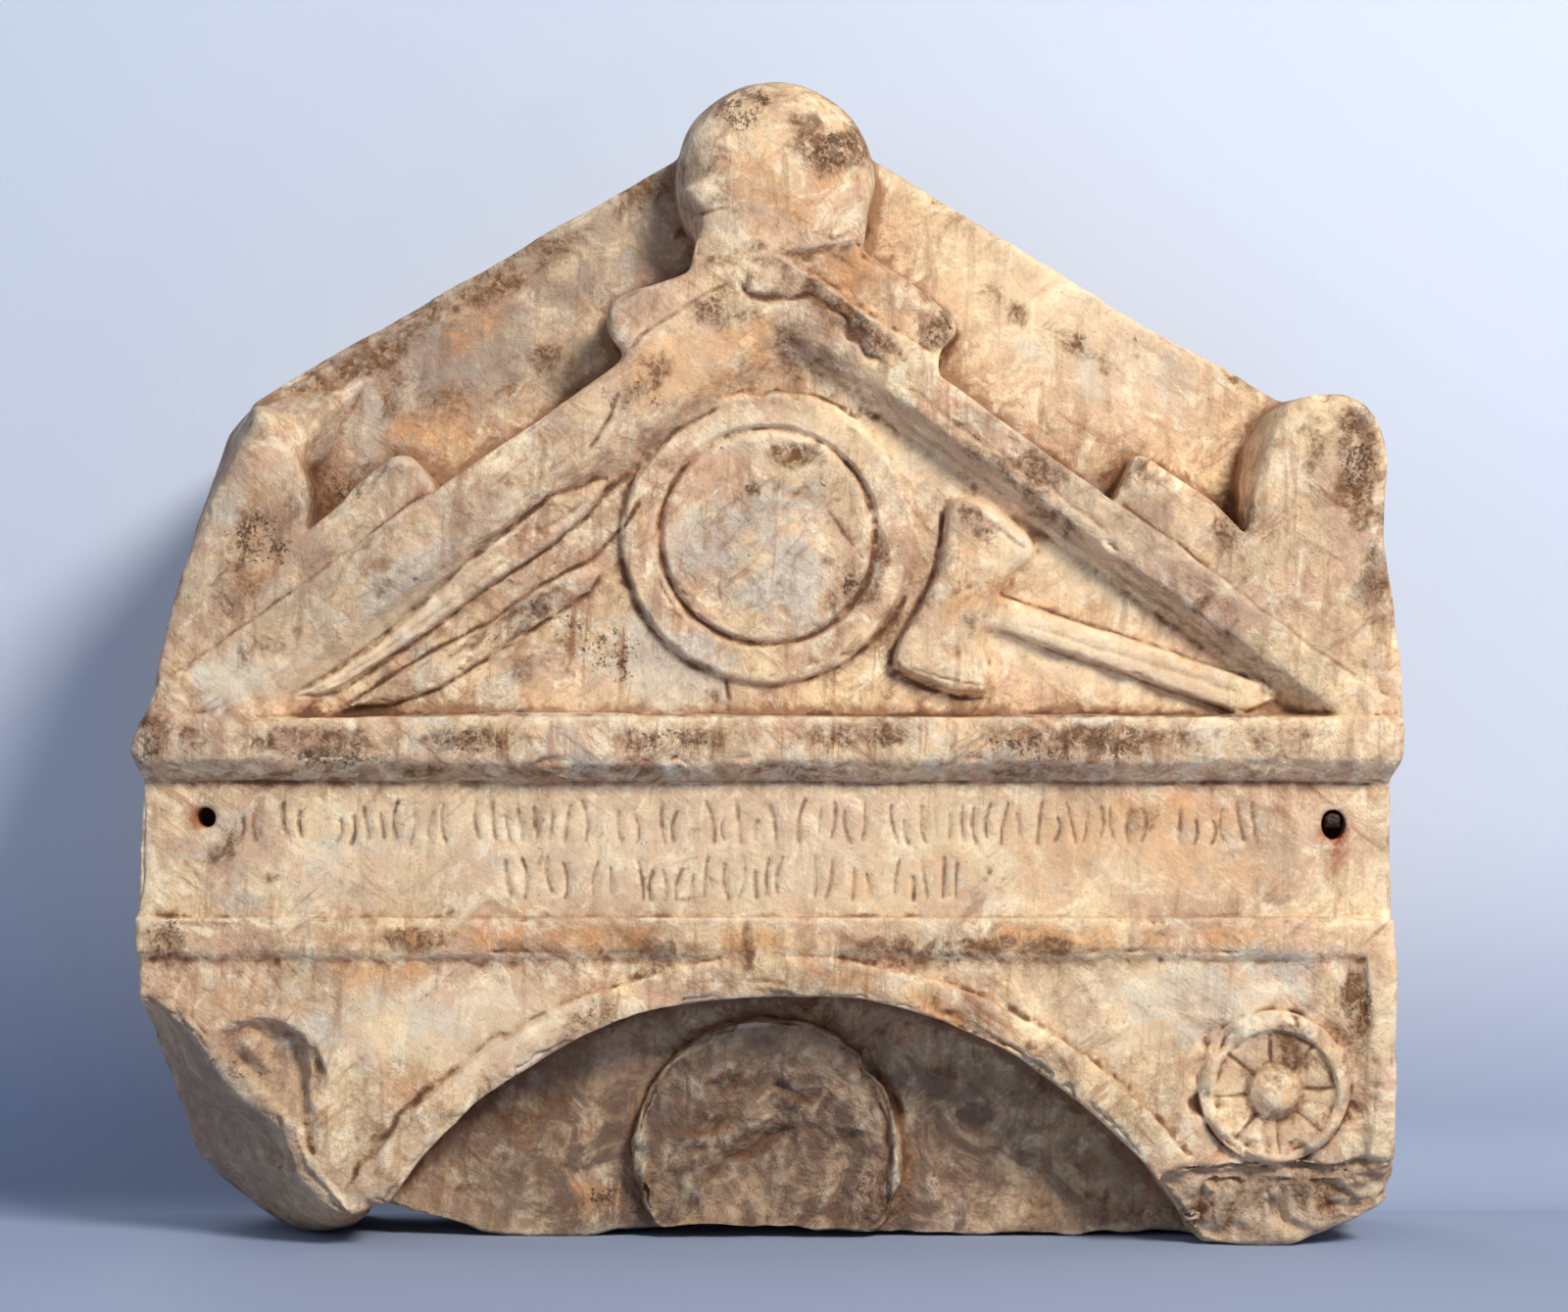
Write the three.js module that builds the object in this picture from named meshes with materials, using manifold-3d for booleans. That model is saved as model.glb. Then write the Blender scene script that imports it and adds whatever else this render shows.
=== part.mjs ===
// The gabled top of a marble grave stele, broken off through the niche below it.
// The block is one piece of stone. It carries a pediment with three plain acroteria, a raking
// cornice round a sunk field with a shield, two long blades and a double axe, a moulded cornice,
// a plain frieze, a flat band, and spandrels over a deep arched niche, in whose back the scar of
// a broken-off head is left. A stub of iron pin is left in the hole at the frieze's right end.
//
// Millimetres. +X is to the right as one faces the carving, -Y is the carved front, +Z is up.
// The origin lies on the standing plane, under the middle of the block.
// A "depth" is a distance behind the foremost face, the fascia of the cornice.

import * as THREE from 'three';
import { mergeVertices } from 'three/addons/utils/BufferGeometryUtils.js';
import Module from 'manifold-3d';

const wasm = await Module();
wasm.setup();

// ---- Block ----
const THICKNESS = 146;
const HALF_CORNICE = 307;
const HALF_BODY = 303;

// ---- Depths of the carved planes ----
const SADDLE_DEPTH = 1.5;
const APEX_DEPTH = 2;
const RAKE_DEPTH = 3;
const STEP_DEPTH = 6;
const CORNER_DEPTH = 5;
const BAND_DEPTH = 12.5;
const FRIEZE_DEPTH = 15.5;
const SPANDREL_DEPTH = 17;
const FIELD_DEPTH = 21;
const ROOF_DEPTH = 47;
const NICHE_DEPTH = 62;
const ROOT = 8;                  // how far an added piece is sunk into the stone behind it
const RAMP_DEPTH = 12;           // where the ramp behind the left acroterion starts
const OVERLAP = 4;               // how far the rear parts of the finials lap over the front ones

// ---- Levels above the standing plane ----
const CORNICE_TOP = 258;
const FASCIA_BOTTOM = 237;
const FRIEZE_TOP = 225.5;
const FRIEZE_BOTTOM = 160.5;
const BAND_BOTTOM = 143.5;
const SPANDREL_TOP = 139.5;
const FASCIA_EASE = 3;           // the small slope that takes off the fascia's top arris
const APEX_X = 3;                // the gable's axis
const ROOF_APEX = 559;
const ROOF_FOOT = 410;
const ROOF_HALF = 253;
const RAKE_APEX = 480.5;
const FIELD_APEX = 455;
const FIELD_APEX_X = 6.8;
const FIELD_LEFT = -268;
const FIELD_RIGHT = 284;
const GROUND_LEFT = -230;        // the field's ground, inside its sloping sides
const GROUND_RIGHT = 258;
const GROUND_APEX = 432;
const GROUND_APEX_X = 13;
const KNOB_RADIUS = 49;
const KNOB_X = 3.2;
const KNOB_Z = 518;

// ---- Shield in the field ----
const SHIELD_X = 0.6;
const SHIELD_Z = 344.5;
const SHIELD_RADIUS = 70.5;
const SHIELD_RISE = 6;
const BOSS_RADIUS = 50.5;
const SHIELD_GROOVE = 4;
const UPPER_BLADE_RISE = 7;
const LOWER_BLADE_RISE = 6;
const AXE_HANDLE_RISE = 7;
const AXE_HEAD_RISE = 11;

// ---- Arch, niche and head scar ----
const ARCH_X = 7.3;
const ARCH_Z = -106.5;
const ARCH_RADIUS = 229.5;
const ARCHIVOLT = 18;
const ARCHIVOLT_FROM = 25;       // the archivolt's ends, in degrees round the arch
const ARCHIVOLT_TO = 147;
const BORDER_WIDTH = 13;
const RIGHT_BORDER_FOOT = 36;
const BORDER_HEAD = 156.5;
const HEAD_X = 1;
const HEAD_Z = 41;
const HEAD_RADIUS = 67;
const HEAD_RISE = 13;

// ---- Rosettes ----
const ROSETTE_X = 245.8;
const ROSETTE_Z = 78.4;
const ROSETTE_RADIUS = 36;
const ROSETTE_RISE = 7;
const PETALS = 8;
const LEFT_SCAR_X = -243;
const LEFT_SCAR_Z = 88;
const FIRST_PETAL = 5;           // where the first line between petals lies, in degrees from +X
const PETAL_RADIUS = 32;         // the petals slope in from the rim to the boss
const BOSS_DROP = 2.5;           // the boss's middle below the rim's middle

// ---- Pin holes in the frieze ----
const HOLE_DEPTH = 26;
const LEFT_HOLE = { x: -271.3, z: 208.4, halfWidth: 4.8, halfHeight: 5.2 };
const RIGHT_HOLE = { x: 274.5, z: 205.1, halfWidth: 5.6, halfHeight: 7 };
const PIN_WIDTH = 7.6;
const PIN_HEIGHT = 7;
const PIN_LENGTH = 22;
const PIN_BEVEL = 1.2;
const PIN_SET_BACK = 1.7;        // the stub's end behind the face of the frieze
const PIN_RISE = 2;              // the stub's middle above the hole's middle

const ARC_STEPS = 72;            // segments in a full turn of the large curves
const SMALL_STEPS = 36;          // and of the smaller ones
const ARCHIVOLT_STEPS = 30;
const BEVEL_STEPS = 2;

// ---- Outlines, as [x, z], anticlockwise as seen from the front ----
const RIGHT_CORNER = [
  [231, 252], [306, 252], [307, 262], [306, 279], [303.5, 311], [299, 328], [297, 340], [298, 358],
  [299, 379], [297.5, 389], [294, 399], [288, 407], [279, 411.5], [268, 412], [257, 410],
  [250, 404], [243, 390], [237, 371], [234, 357], [231, 342],
];
const RIGHT_CORNER_REAR = [
  [231, 252], [306, 252], [307, 262], [306, 279], [304, 311], [301, 328], [300, 340], [301, 358],
  [302, 379], [300.5, 391], [297, 401], [290, 409], [280, 412], [268, 412], [255, 411],
  [241, 404], [231, 391], [229, 371], [229, 357], [230, 342],
];
const LEFT_CORNER = [
  [-223, 252], [-223, 345], [-220, 366], [-227, 386], [-237, 404], [-247, 409], [-256, 404],
  [-263, 396], [-271, 374], [-280, 343], [-286, 320], [-291, 296], [-297, 263], [-301, 252],
];
const RIGHT_STEP = [
  [162, 335], [235, 290], [235, 341], [216, 361], [197, 374], [182, 384], [177, 383.5], [169, 366],
];
const LEFT_STEP = [
  [-160, 345], [-161, 370], [-173, 383], [-180, 382], [-194, 371], [-208, 357], [-226, 343],
  [-226, 300],
];
const RAMP_FRONT = [
  [-250, 398], [-241, 380], [-232, 376], [-229, 388], [-237, 402],
];
const RAMP_REAR = [
  [-252, 404], [-232, 366], [-214, 386], [-196, 424], [-243, 412],
];
const SADDLE = [
  [-64, 429], [-27, 454], [2, 472], [29, 453], [51, 440], [58, 426], [83, 422], [84, 433],
  [93, 444], [91, 449], [75, 462], [56, 474], [46, 482], [44, 490], [-34, 490], [-38, 473],
  [-67, 462], [-75, 456], [-77, 445], [-74, 439],
];
const AXE_HEAD = [
  [60.5, 281], [71, 276], [93, 267.5], [105, 267.5], [110, 275], [106, 285], [104, 296],
  [108, 306], [111, 317], [118, 325], [128.5, 333], [131, 339.5], [125, 348], [113, 357],
  [101, 363.5], [91, 363], [87, 357], [85.5, 341], [82, 326], [73, 308], [65, 298], [61, 287],
];
const AXE_HANDLE = [[106, 301], [229, 259.5], [246, 266.5], [241, 273], [106, 318]];
const UPPER_BLADE = [
  [-237, 272], [-229, 266], [-216, 266], [-207, 270], [-181, 287], [-157, 304], [-134, 322],
  [-105, 341], [-86, 357], [-74, 373], [-105, 361], [-134, 339], [-162, 315], [-186, 294],
  [-210, 277],
];
const LOWER_BLADE = [
  [-205, 261.5], [-181, 264], [-158, 273], [-134, 288], [-110, 303], [-86, 319], [-80, 328],
  [-86, 331.5], [-112, 318], [-134, 302], [-158, 291], [-181, 277],
];

// The lower left corner is broken off on a slope: the break's edge on the front face, and
// where that edge has got to well behind it.
const BREAK_FRONT = [
  [-340, 128], [-304, 122], [-288, 117], [-273, 105], [-265, 93], [-246, 76], [-228, 58],
  [-222, 40], [-209, 25], [-204, 18], [-200, 16], [-194, 19], [-186, 24], [-178, 14], [-178, -30],
  [-340, -30],
];
const BREAK_REAR = [
  [-340, 118], [-311, 113], [-308, 99], [-304, 85], [-299, 70], [-290, 56], [-287, 38],
  [-277, 28], [-260, 14], [-243, 4], [-226, 0], [-208, 2], [-196, 13], [-178, 14], [-178, -30],
  [-340, -30],
];
const BREAK_END_DEPTH = 86;

// The underside is a rough, nearly level break: its line at the front and at the back.
const UNDER_FRONT = [
  [-182, -30], [-182, 14], [-164, 13], [-141, 6], [-119, 0], [-94, 0], [-70, 4], [-45, 8],
  [-20, 8], [9, 6], [33, 3], [71, 0], [157, 0], [190, 22], [204, 9], [215, 0], [258, 0],
  [268, 5], [288, 12], [304, 22], [340, 34], [340, -30],
];
const UNDER_REAR = [
  [-182, -30], [-182, 14], [-164, 9], [-141, 2], [-119, 0], [-94, 0], [-70, 2], [-45, 4],
  [-20, 6], [9, 5], [33, 2], [71, 0], [157, 0], [190, 2], [204, 0], [215, 0], [250, 0],
  [262, 4], [284, 11], [302, 20], [340, 32], [340, -30],
];
const UNDER_END_DEPTH = 50;

// The left acroterion's outer side has split off towards the back.
const SPLIT_FRONT = [
  [-340, 440], [-340, 290], [-290, 292], [-285, 310], [-274, 338], [-259, 372], [-248, 392],
  [-242, 412], [-236, 440],
];
const SPLIT_REAR = [
  [-340, 440], [-340, 290], [-296, 292], [-291, 312], [-285, 342], [-276, 375], [-267, 397],
  [-254, 412], [-236, 440],
];
const SPLIT_END_DEPTH = 60;

// ---- Materials ----
const marble = new THREE.MeshStandardMaterial({ color: 0xd9c2a3, roughness: 0.72, metalness: 0 });
const rustedIron = new THREE.MeshStandardMaterial({ color: 0x2a211d, roughness: 0.8, metalness: 0.6 });

// ---- Solids ----

// The Y of a plane at the given depth.
function planeAt(depth) {
  return depth - THICKNESS / 2;
}

// A closed geometry becomes a solid that can be joined and cut.
function solid(geometry) {
  geometry.deleteAttribute('normal');
  geometry.deleteAttribute('uv');
  const merged = mergeVertices(geometry, 1e-4);
  return new wasm.Manifold(new wasm.Mesh({
    numProp: 3,
    vertProperties: Float32Array.from(merged.attributes.position.array),
    triVerts: Uint32Array.from(merged.index.array),
  }));
}

function toShape(outline) {
  return new THREE.Shape(outline.map(([x, z]) => new THREE.Vector2(x, z)));
}

// An outline in the XZ plane, filled from one depth back to another.
// A bevel eases its front edge, and its rear edge inside the stone.
function slabGeometry(outline, front, back, { bevel = 0, steps = 1 } = {}) {
  const geometry = new THREE.ExtrudeGeometry(toShape(outline), {
    depth: back - front - bevel,
    steps,
    bevelEnabled: bevel > 0,
    bevelThickness: bevel,
    bevelSize: bevel,
    bevelOffset: -bevel,
    bevelSegments: BEVEL_STEPS,
  });
  geometry.rotateX(Math.PI / 2);
  geometry.translate(0, planeAt(back), 0);
  return geometry;
}

function slab(outline, front, back, options) {
  return solid(slabGeometry(outline, front, back, options));
}

// A slab whose outline changes evenly from one list of points to another by endDepth,
// and stays so to the back.
function changingSlab(frontOutline, rearOutline, front, endDepth, back) {
  const steps = 6;
  const geometry = slabGeometry(frontOutline, front, back, { steps });
  const position = geometry.attributes.position;
  for (let i = 0; i < position.count; i += 1) {
    const x = position.getX(i);
    const z = position.getZ(i);
    const depth = position.getY(i) + THICKNESS / 2;
    const share = THREE.MathUtils.clamp((depth - front) / (endDepth - front), 0, 1);
    const corner = frontOutline.findIndex(([px, pz]) => Math.hypot(px - x, pz - z) < 0.01);
    const [rearX, rearZ] = rearOutline[corner];
    position.setX(i, THREE.MathUtils.lerp(x, rearX, share));
    position.setZ(i, THREE.MathUtils.lerp(z, rearZ, share));
  }
  return solid(geometry);
}

// A moulding's section, as [depth, z], run along X.
function moulding(section, left, right) {
  const shape = new THREE.Shape(section.map(([depth, z]) => new THREE.Vector2(planeAt(depth), z)));
  const geometry = new THREE.ExtrudeGeometry(shape, { depth: right - left, bevelEnabled: false });
  const turn = new THREE.Matrix4().set(
    0, 0, 1, left,
    1, 0, 0, 0,
    0, 1, 0, 0,
    0, 0, 0, 1,
  );
  return solid(geometry.applyMatrix4(turn));
}

// A round piece turned about an axis that points to the front: its profile as [radius, depth],
// from the front of the axis to the back of it.
function turned(profile, x, z, { segments = ARC_STEPS, turn = 0 } = {}) {
  const points = profile.map(([radius, depth]) => new THREE.Vector2(radius, planeAt(depth)));
  const geometry = new THREE.LatheGeometry(points, segments);
  geometry.rotateY(THREE.MathUtils.degToRad(90 - turn));
  geometry.translate(x, 0, z);
  return solid(geometry);
}

// Points along an arc, from one angle to another, in degrees from +X towards +Z.
function arc(x, z, radius, from, to, steps) {
  return Array.from({ length: steps + 1 }, (unused, i) => {
    const angle = THREE.MathUtils.degToRad(from + (to - from) * (i / steps));
    return [x + radius * Math.cos(angle), z + radius * Math.sin(angle)];
  });
}

function ellipse({ x, z, halfWidth, halfHeight }, steps) {
  return Array.from({ length: steps }, (unused, i) => {
    const angle = (2 * Math.PI * i) / steps;
    return [x + halfWidth * Math.cos(angle), z + halfHeight * Math.sin(angle)];
  });
}

// A stretched ball, for scooping out hollows and for low rounded lumps.
function ball(x, depth, z, [sizeX, sizeY, sizeZ], tilt = 0) {
  const geometry = new THREE.SphereGeometry(1, 16, 10);
  geometry.scale(sizeX, sizeY, sizeZ);
  geometry.rotateY(-THREE.MathUtils.degToRad(tilt));
  geometry.translate(x, planeAt(depth), z);
  return solid(geometry);
}

function joinAll(pieces) {
  return pieces.reduce((whole, piece) => whole.add(piece));
}

function cutAll(whole, cutters) {
  return cutters.reduce((rest, cutter) => rest.subtract(cutter), whole);
}

// ---- The block and its mouldings ----

function roofSlab() {
  return slab([
    [-HALF_BODY + 8, CORNICE_TOP - ROOT], [HALF_BODY - 8, CORNICE_TOP - ROOT],
    [APEX_X + ROOF_HALF + 6, ROOF_FOOT - 40], [APEX_X + ROOF_HALF - 2, ROOF_FOOT],
    [APEX_X, ROOF_APEX], [APEX_X - ROOF_HALF - 2, ROOF_FOOT + 1], [-ROOF_HALF - 20, ROOF_FOOT - 40],
  ], ROOF_DEPTH, THICKNESS);
}

function body() {
  const frieze = slab([
    [-HALF_BODY - 1, FRIEZE_BOTTOM - ROOT], [HALF_BODY, FRIEZE_BOTTOM - ROOT],
    [HALF_BODY - 2, CORNICE_TOP - ROOT], [-HALF_BODY + 1, CORNICE_TOP - ROOT],
  ], FRIEZE_DEPTH, THICKNESS);
  const lower = slab([
    [-HALF_BODY - 3, 0], [HALF_BODY + 1, 0], [HALF_BODY + 1, FRIEZE_BOTTOM - ROOT / 2],
    [-HALF_BODY - 1, FRIEZE_BOTTOM - ROOT / 2],
  ], SPANDREL_DEPTH, THICKNESS);
  return frieze.add(lower);
}

// The cornice returns along both sides. A hollow moulding runs under its fascia.
function cornice() {
  const block = slab([
    [-HALF_BODY + 1, FRIEZE_TOP], [HALF_BODY - 2, FRIEZE_TOP], [HALF_CORNICE, FASCIA_BOTTOM],
    [HALF_CORNICE, CORNICE_TOP - FASCIA_EASE], [HALF_CORNICE - FASCIA_EASE, CORNICE_TOP],
    [-HALF_CORNICE + 2 * FASCIA_EASE, CORNICE_TOP],
    [-HALF_CORNICE, CORNICE_TOP - 14], [-HALF_CORNICE, FASCIA_BOTTOM + 2],
  ], 0, THICKNESS);
  const fall = FASCIA_BOTTOM - FRIEZE_TOP;
  const hollow = [[0.25, 0.32], [0.5, 0.62], [0.75, 0.86]].map(([across, down]) => [
    FRIEZE_DEPTH * across, FASCIA_BOTTOM - fall * down,
  ]);
  const underCut = moulding([
    [-5, FASCIA_BOTTOM], [-5, FRIEZE_TOP - 1], [FRIEZE_DEPTH, FRIEZE_TOP - 1], [FRIEZE_DEPTH, FRIEZE_TOP],
    ...hollow.reverse(), [0, FASCIA_BOTTOM],
  ], -HALF_CORNICE - 5, HALF_CORNICE + 5);
  return block.subtract(underCut);
}

function rakingCornice() {
  return slab([
    [-HALF_BODY + 1, CORNICE_TOP - ROOT], [HALF_BODY - 1, CORNICE_TOP - ROOT], [HALF_BODY - 1, 264.5],
    [APEX_X, RAKE_APEX], [-283, 279.5], [-HALF_BODY + 6, 266],
  ], RAKE_DEPTH, ROOF_DEPTH + ROOT);
}

// The sunk field: its sloping sides draw in a little towards its ground.
function sunkField() {
  const mouth = [
    [FIELD_LEFT, CORNICE_TOP], [FIELD_RIGHT, CORNICE_TOP], [FIELD_APEX_X, FIELD_APEX],
  ];
  const ground = [
    [GROUND_LEFT, CORNICE_TOP], [GROUND_RIGHT, CORNICE_TOP], [GROUND_APEX_X, GROUND_APEX],
  ];
  return changingSlab(mouth, ground, -1, FIELD_DEPTH, FIELD_DEPTH);
}

function saddle() {
  return slab(SADDLE, SADDLE_DEPTH, ROOF_DEPTH + ROOT, { bevel: 2 });
}

// A plain boulder-like finial on a neck, standing clear of the roof and running back over it.
function apexAcroterion() {
  const knob = turned([
    [0, APEX_DEPTH], [18, APEX_DEPTH + 1], [29, APEX_DEPTH + 4], [37, APEX_DEPTH + 9],
    [43.5, APEX_DEPTH + 16], [47.5, APEX_DEPTH + 25], [KNOB_RADIUS, ROOF_DEPTH - OVERLAP],
    [KNOB_RADIUS, ROOF_DEPTH + ROOT], [0, ROOF_DEPTH + ROOT],
  ], KNOB_X, KNOB_Z);
  const neck = slab([
    [-33, 476], [46, 476], [49, 500], [50, 512], [30, 524], [-24, 524], [-41, 512], [-33, 498],
  ], APEX_DEPTH + 2, ROOF_DEPTH + ROOT, { bevel: 7 });
  const rearOutline = arc(KNOB_X, KNOB_Z - 1, KNOB_RADIUS - 3, 0, 360, SMALL_STEPS).slice(1);
  const rear = slab(rearOutline, ROOF_DEPTH - OVERLAP, THICKNESS);
  return joinAll([knob, neck, rear]);
}

// The corner acroteria stand on step blocks. The right one widens towards the roof, and the
// left one's inner side runs down to the roof in a ramp.
function corners() {
  return joinAll([
    changingSlab(RAMP_FRONT, RAMP_REAR, RAMP_DEPTH, ROOF_DEPTH + 1, ROOF_DEPTH + ROOT),
    changingSlab(RIGHT_CORNER, RIGHT_CORNER_REAR, CORNER_DEPTH, ROOF_DEPTH, THICKNESS),
    slab(LEFT_CORNER, CORNER_DEPTH, ROOF_DEPTH + ROOT, { bevel: 4 }),
    slab(LEFT_CORNER, ROOF_DEPTH - OVERLAP, THICKNESS),
    slab(RIGHT_STEP, STEP_DEPTH, ROOF_DEPTH + ROOT, { bevel: 2 }),
    slab(LEFT_STEP, STEP_DEPTH, ROOF_DEPTH + ROOT, { bevel: 2 }),
  ]);
}

function flatBand() {
  return moulding([
    [BAND_DEPTH, FRIEZE_BOTTOM], [BAND_DEPTH + 0.5, BAND_BOTTOM], [SPANDREL_DEPTH, SPANDREL_TOP],
    [SPANDREL_DEPTH + ROOT, SPANDREL_TOP], [SPANDREL_DEPTH + ROOT, FRIEZE_BOTTOM],
  ].reverse(), -HALF_BODY - 1.5, HALF_BODY + 0.5);
}

// A narrow upright border closes the right spandrel at its side.
function border() {
  return slab([
    [HALF_BODY + 1 - BORDER_WIDTH, RIGHT_BORDER_FOOT], [HALF_BODY + 1, RIGHT_BORDER_FOOT],
    [HALF_BODY + 1, BORDER_HEAD], [HALF_BODY + 1 - BORDER_WIDTH, BORDER_HEAD],
  ], BAND_DEPTH + 0.5, SPANDREL_DEPTH + ROOT, { bevel: 1 });
}

// ---- Reliefs in the sunk field ----

function shield() {
  const front = FIELD_DEPTH - SHIELD_RISE;
  const floor = front + SHIELD_GROOVE;
  return turned([
    [0, front - 0.5], [BOSS_RADIUS * 0.6, front - 0.2], [BOSS_RADIUS - 1.5, front + 0.6],
    [BOSS_RADIUS, front + 1.6], [BOSS_RADIUS + 0.8, floor], [BOSS_RADIUS + 2.6, floor],
    [BOSS_RADIUS + 5, front], [SHIELD_RADIUS - 3, front], [SHIELD_RADIUS - 0.8, front + 1.2],
    [SHIELD_RADIUS, front + 3], [SHIELD_RADIUS, FIELD_DEPTH + ROOT], [0, FIELD_DEPTH + ROOT],
  ], SHIELD_X, SHIELD_Z);
}

function tools() {
  const back = FIELD_DEPTH + ROOT;
  return joinAll([
    slab(UPPER_BLADE, FIELD_DEPTH - UPPER_BLADE_RISE, back, { bevel: 3.4 }),
    slab(LOWER_BLADE, FIELD_DEPTH - LOWER_BLADE_RISE, back, { bevel: 3.4 }),
    slab(AXE_HANDLE, FIELD_DEPTH - AXE_HANDLE_RISE, back, { bevel: 2.5 }),
    slab(AXE_HEAD, FIELD_DEPTH - AXE_HEAD_RISE, back, { bevel: 5 }),
  ]);
}

// ---- Spandrels and niche ----

function archivolt() {
  const outerRadius = ARCH_RADIUS + ARCHIVOLT;
  const innerRadius = ARCH_RADIUS - 4;
  const outer = arc(ARCH_X, ARCH_Z, outerRadius, ARCHIVOLT_FROM, ARCHIVOLT_TO, ARCHIVOLT_STEPS);
  const inner = arc(ARCH_X, ARCH_Z, innerRadius, ARCHIVOLT_TO, ARCHIVOLT_FROM, ARCHIVOLT_STEPS);
  return slab([...outer, ...inner], BAND_DEPTH + 0.8, SPANDREL_DEPTH + ROOT, { bevel: 0.8 });
}

function niche() {
  return slab(arc(ARCH_X, ARCH_Z, ARCH_RADIUS, 0, 360, ARC_STEPS).slice(1), -10, NICHE_DEPTH);
}

// All that is left of the niche's figure is the broken bed of its head.
function headScar() {
  const front = NICHE_DEPTH - HEAD_RISE;
  const bed = slab(
    arc(HEAD_X, HEAD_Z, HEAD_RADIUS, 0, 360, SMALL_STEPS).slice(1),
    front,
    NICHE_DEPTH + ROOT,
    { bevel: 7 },
  );
  return cutAll(bed, [
    ball(HEAD_X + 6, front - 6, HEAD_Z - 4, [50, 13, 44], 12),
    ball(HEAD_X - 14, front - 6, HEAD_Z + 30, [30, 10, 14], 8),
  ]);
}

// An open flower in a worn raised rim: eight flat petals that slope in to a rounded boss.
function rightRosette() {
  const front = SPANDREL_DEPTH - ROSETTE_RISE;
  const round = { segments: SMALL_STEPS };
  const disc = turned([
    [0, front], [ROSETTE_RADIUS - 2, front], [ROSETTE_RADIUS, front + 2.6],
    [ROSETTE_RADIUS, SPANDREL_DEPTH + ROOT], [0, SPANDREL_DEPTH + ROOT],
  ], ROSETTE_X, ROSETTE_Z, round);
  const petals = turned([
    [0, front - 1], [PETAL_RADIUS, front - 1], [PETAL_RADIUS - 0.5, front + 1.2], [10, front + 5.5],
    [0, front + 5.5],
  ], ROSETTE_X, ROSETTE_Z - BOSS_DROP / 2, { segments: PETALS, turn: FIRST_PETAL });
  const boss = turned([
    [0, front - 0.6], [5, front], [8.5, front + 1.6], [11, front + 4.2],
    [11.5, SPANDREL_DEPTH + ROOT], [0, SPANDREL_DEPTH + ROOT],
  ], ROSETTE_X, ROSETTE_Z - BOSS_DROP, round);
  return disc.subtract(petals).add(boss);
}

// The left rosette has gone with the broken corner: a shallow rough hollow is left.
function leftRosetteScar() {
  return ball(LEFT_SCAR_X, SPANDREL_DEPTH, LEFT_SCAR_Z, [25, 9, 24], -30);
}

// ---- Damage ----

function breaks() {
  const past = THICKNESS + 5;
  const pierFace = moulding([
    [-5, 38], [-5, -5], [30, -5], [27, 20], [22, 36.5],
  ], ARCH_X + ARCH_RADIUS * 0.8, HALF_BODY + 10);
  return [
    changingSlab(BREAK_FRONT, BREAK_REAR, SPANDREL_DEPTH - 7, BREAK_END_DEPTH, past),
    changingSlab(UNDER_FRONT, UNDER_REAR, -8, UNDER_END_DEPTH, past),
    changingSlab(SPLIT_FRONT, SPLIT_REAR, -5, SPLIT_END_DEPTH, past),
    pierFace,
  ];
}

function pinHoles() {
  return [LEFT_HOLE, RIGHT_HOLE].map((hole) => slab(
    ellipse(hole, SMALL_STEPS),
    -5,
    FRIEZE_DEPTH + HOLE_DEPTH,
  ));
}

function makeStele() {
  const gable = joinAll([
    roofSlab(),
    rakingCornice(),
    saddle(),
    apexAcroterion(),
    corners(),
  ]).subtract(sunkField());
  const lower = joinAll([
    body(),
    flatBand(),
    border(),
    archivolt(),
    rightRosette(),
  ]).subtract(niche());
  const whole = joinAll([gable, lower, cornice(), shield(), tools(), headScar()]);
  return cutAll(whole, [leftRosetteScar(), ...breaks(), ...pinHoles()]);
}

// ---- The iron stub ----

function makePin() {
  const geometry = new THREE.ExtrudeGeometry(toShape([
    [-PIN_WIDTH / 2, -PIN_HEIGHT / 2], [PIN_WIDTH / 2, -PIN_HEIGHT / 2],
    [PIN_WIDTH / 2, PIN_HEIGHT / 4], [PIN_WIDTH / 4, PIN_HEIGHT / 2],
    [-PIN_WIDTH / 4, PIN_HEIGHT / 2], [-PIN_WIDTH / 2, PIN_HEIGHT / 4],
  ]), {
    depth: PIN_LENGTH - 2 * PIN_BEVEL,
    bevelEnabled: true,
    bevelThickness: PIN_BEVEL,
    bevelSize: PIN_BEVEL,
    bevelOffset: -PIN_BEVEL,
    bevelSegments: BEVEL_STEPS,
  });
  geometry.rotateX(Math.PI / 2);
  return solid(geometry);
}

// ---- The model ----

function toMesh(name, manifold, material) {
  const { vertProperties, triVerts } = manifold.getMesh();
  const geometry = new THREE.BufferGeometry();
  geometry.setAttribute('position', new THREE.BufferAttribute(Float32Array.from(vertProperties), 3));
  geometry.setIndex(new THREE.BufferAttribute(Uint32Array.from(triVerts), 1));
  geometry.computeVertexNormals();
  const mesh = new THREE.Mesh(geometry, material);
  mesh.name = name;
  return mesh;
}

const stele = toMesh('stele', makeStele(), marble);

const pin = toMesh('iron_pin', makePin(), rustedIron);
pin.position.set(
  RIGHT_HOLE.x,
  planeAt(FRIEZE_DEPTH + PIN_SET_BACK + PIN_LENGTH - PIN_BEVEL),
  RIGHT_HOLE.z + PIN_RISE,
);

const model = new THREE.Group();
model.add(stele, pin);

export default model;
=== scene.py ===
"""The looks of the gabled marble stele: its worn and broken surface, its patina and the rusted pin.

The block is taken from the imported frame, remeshed finely, worn, chipped and carved in numpy,
and thinned again. Lengths in the carving are in millimetres: x to the right, z up, and depth
back from the foremost plane of the block.
"""

import math

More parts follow.
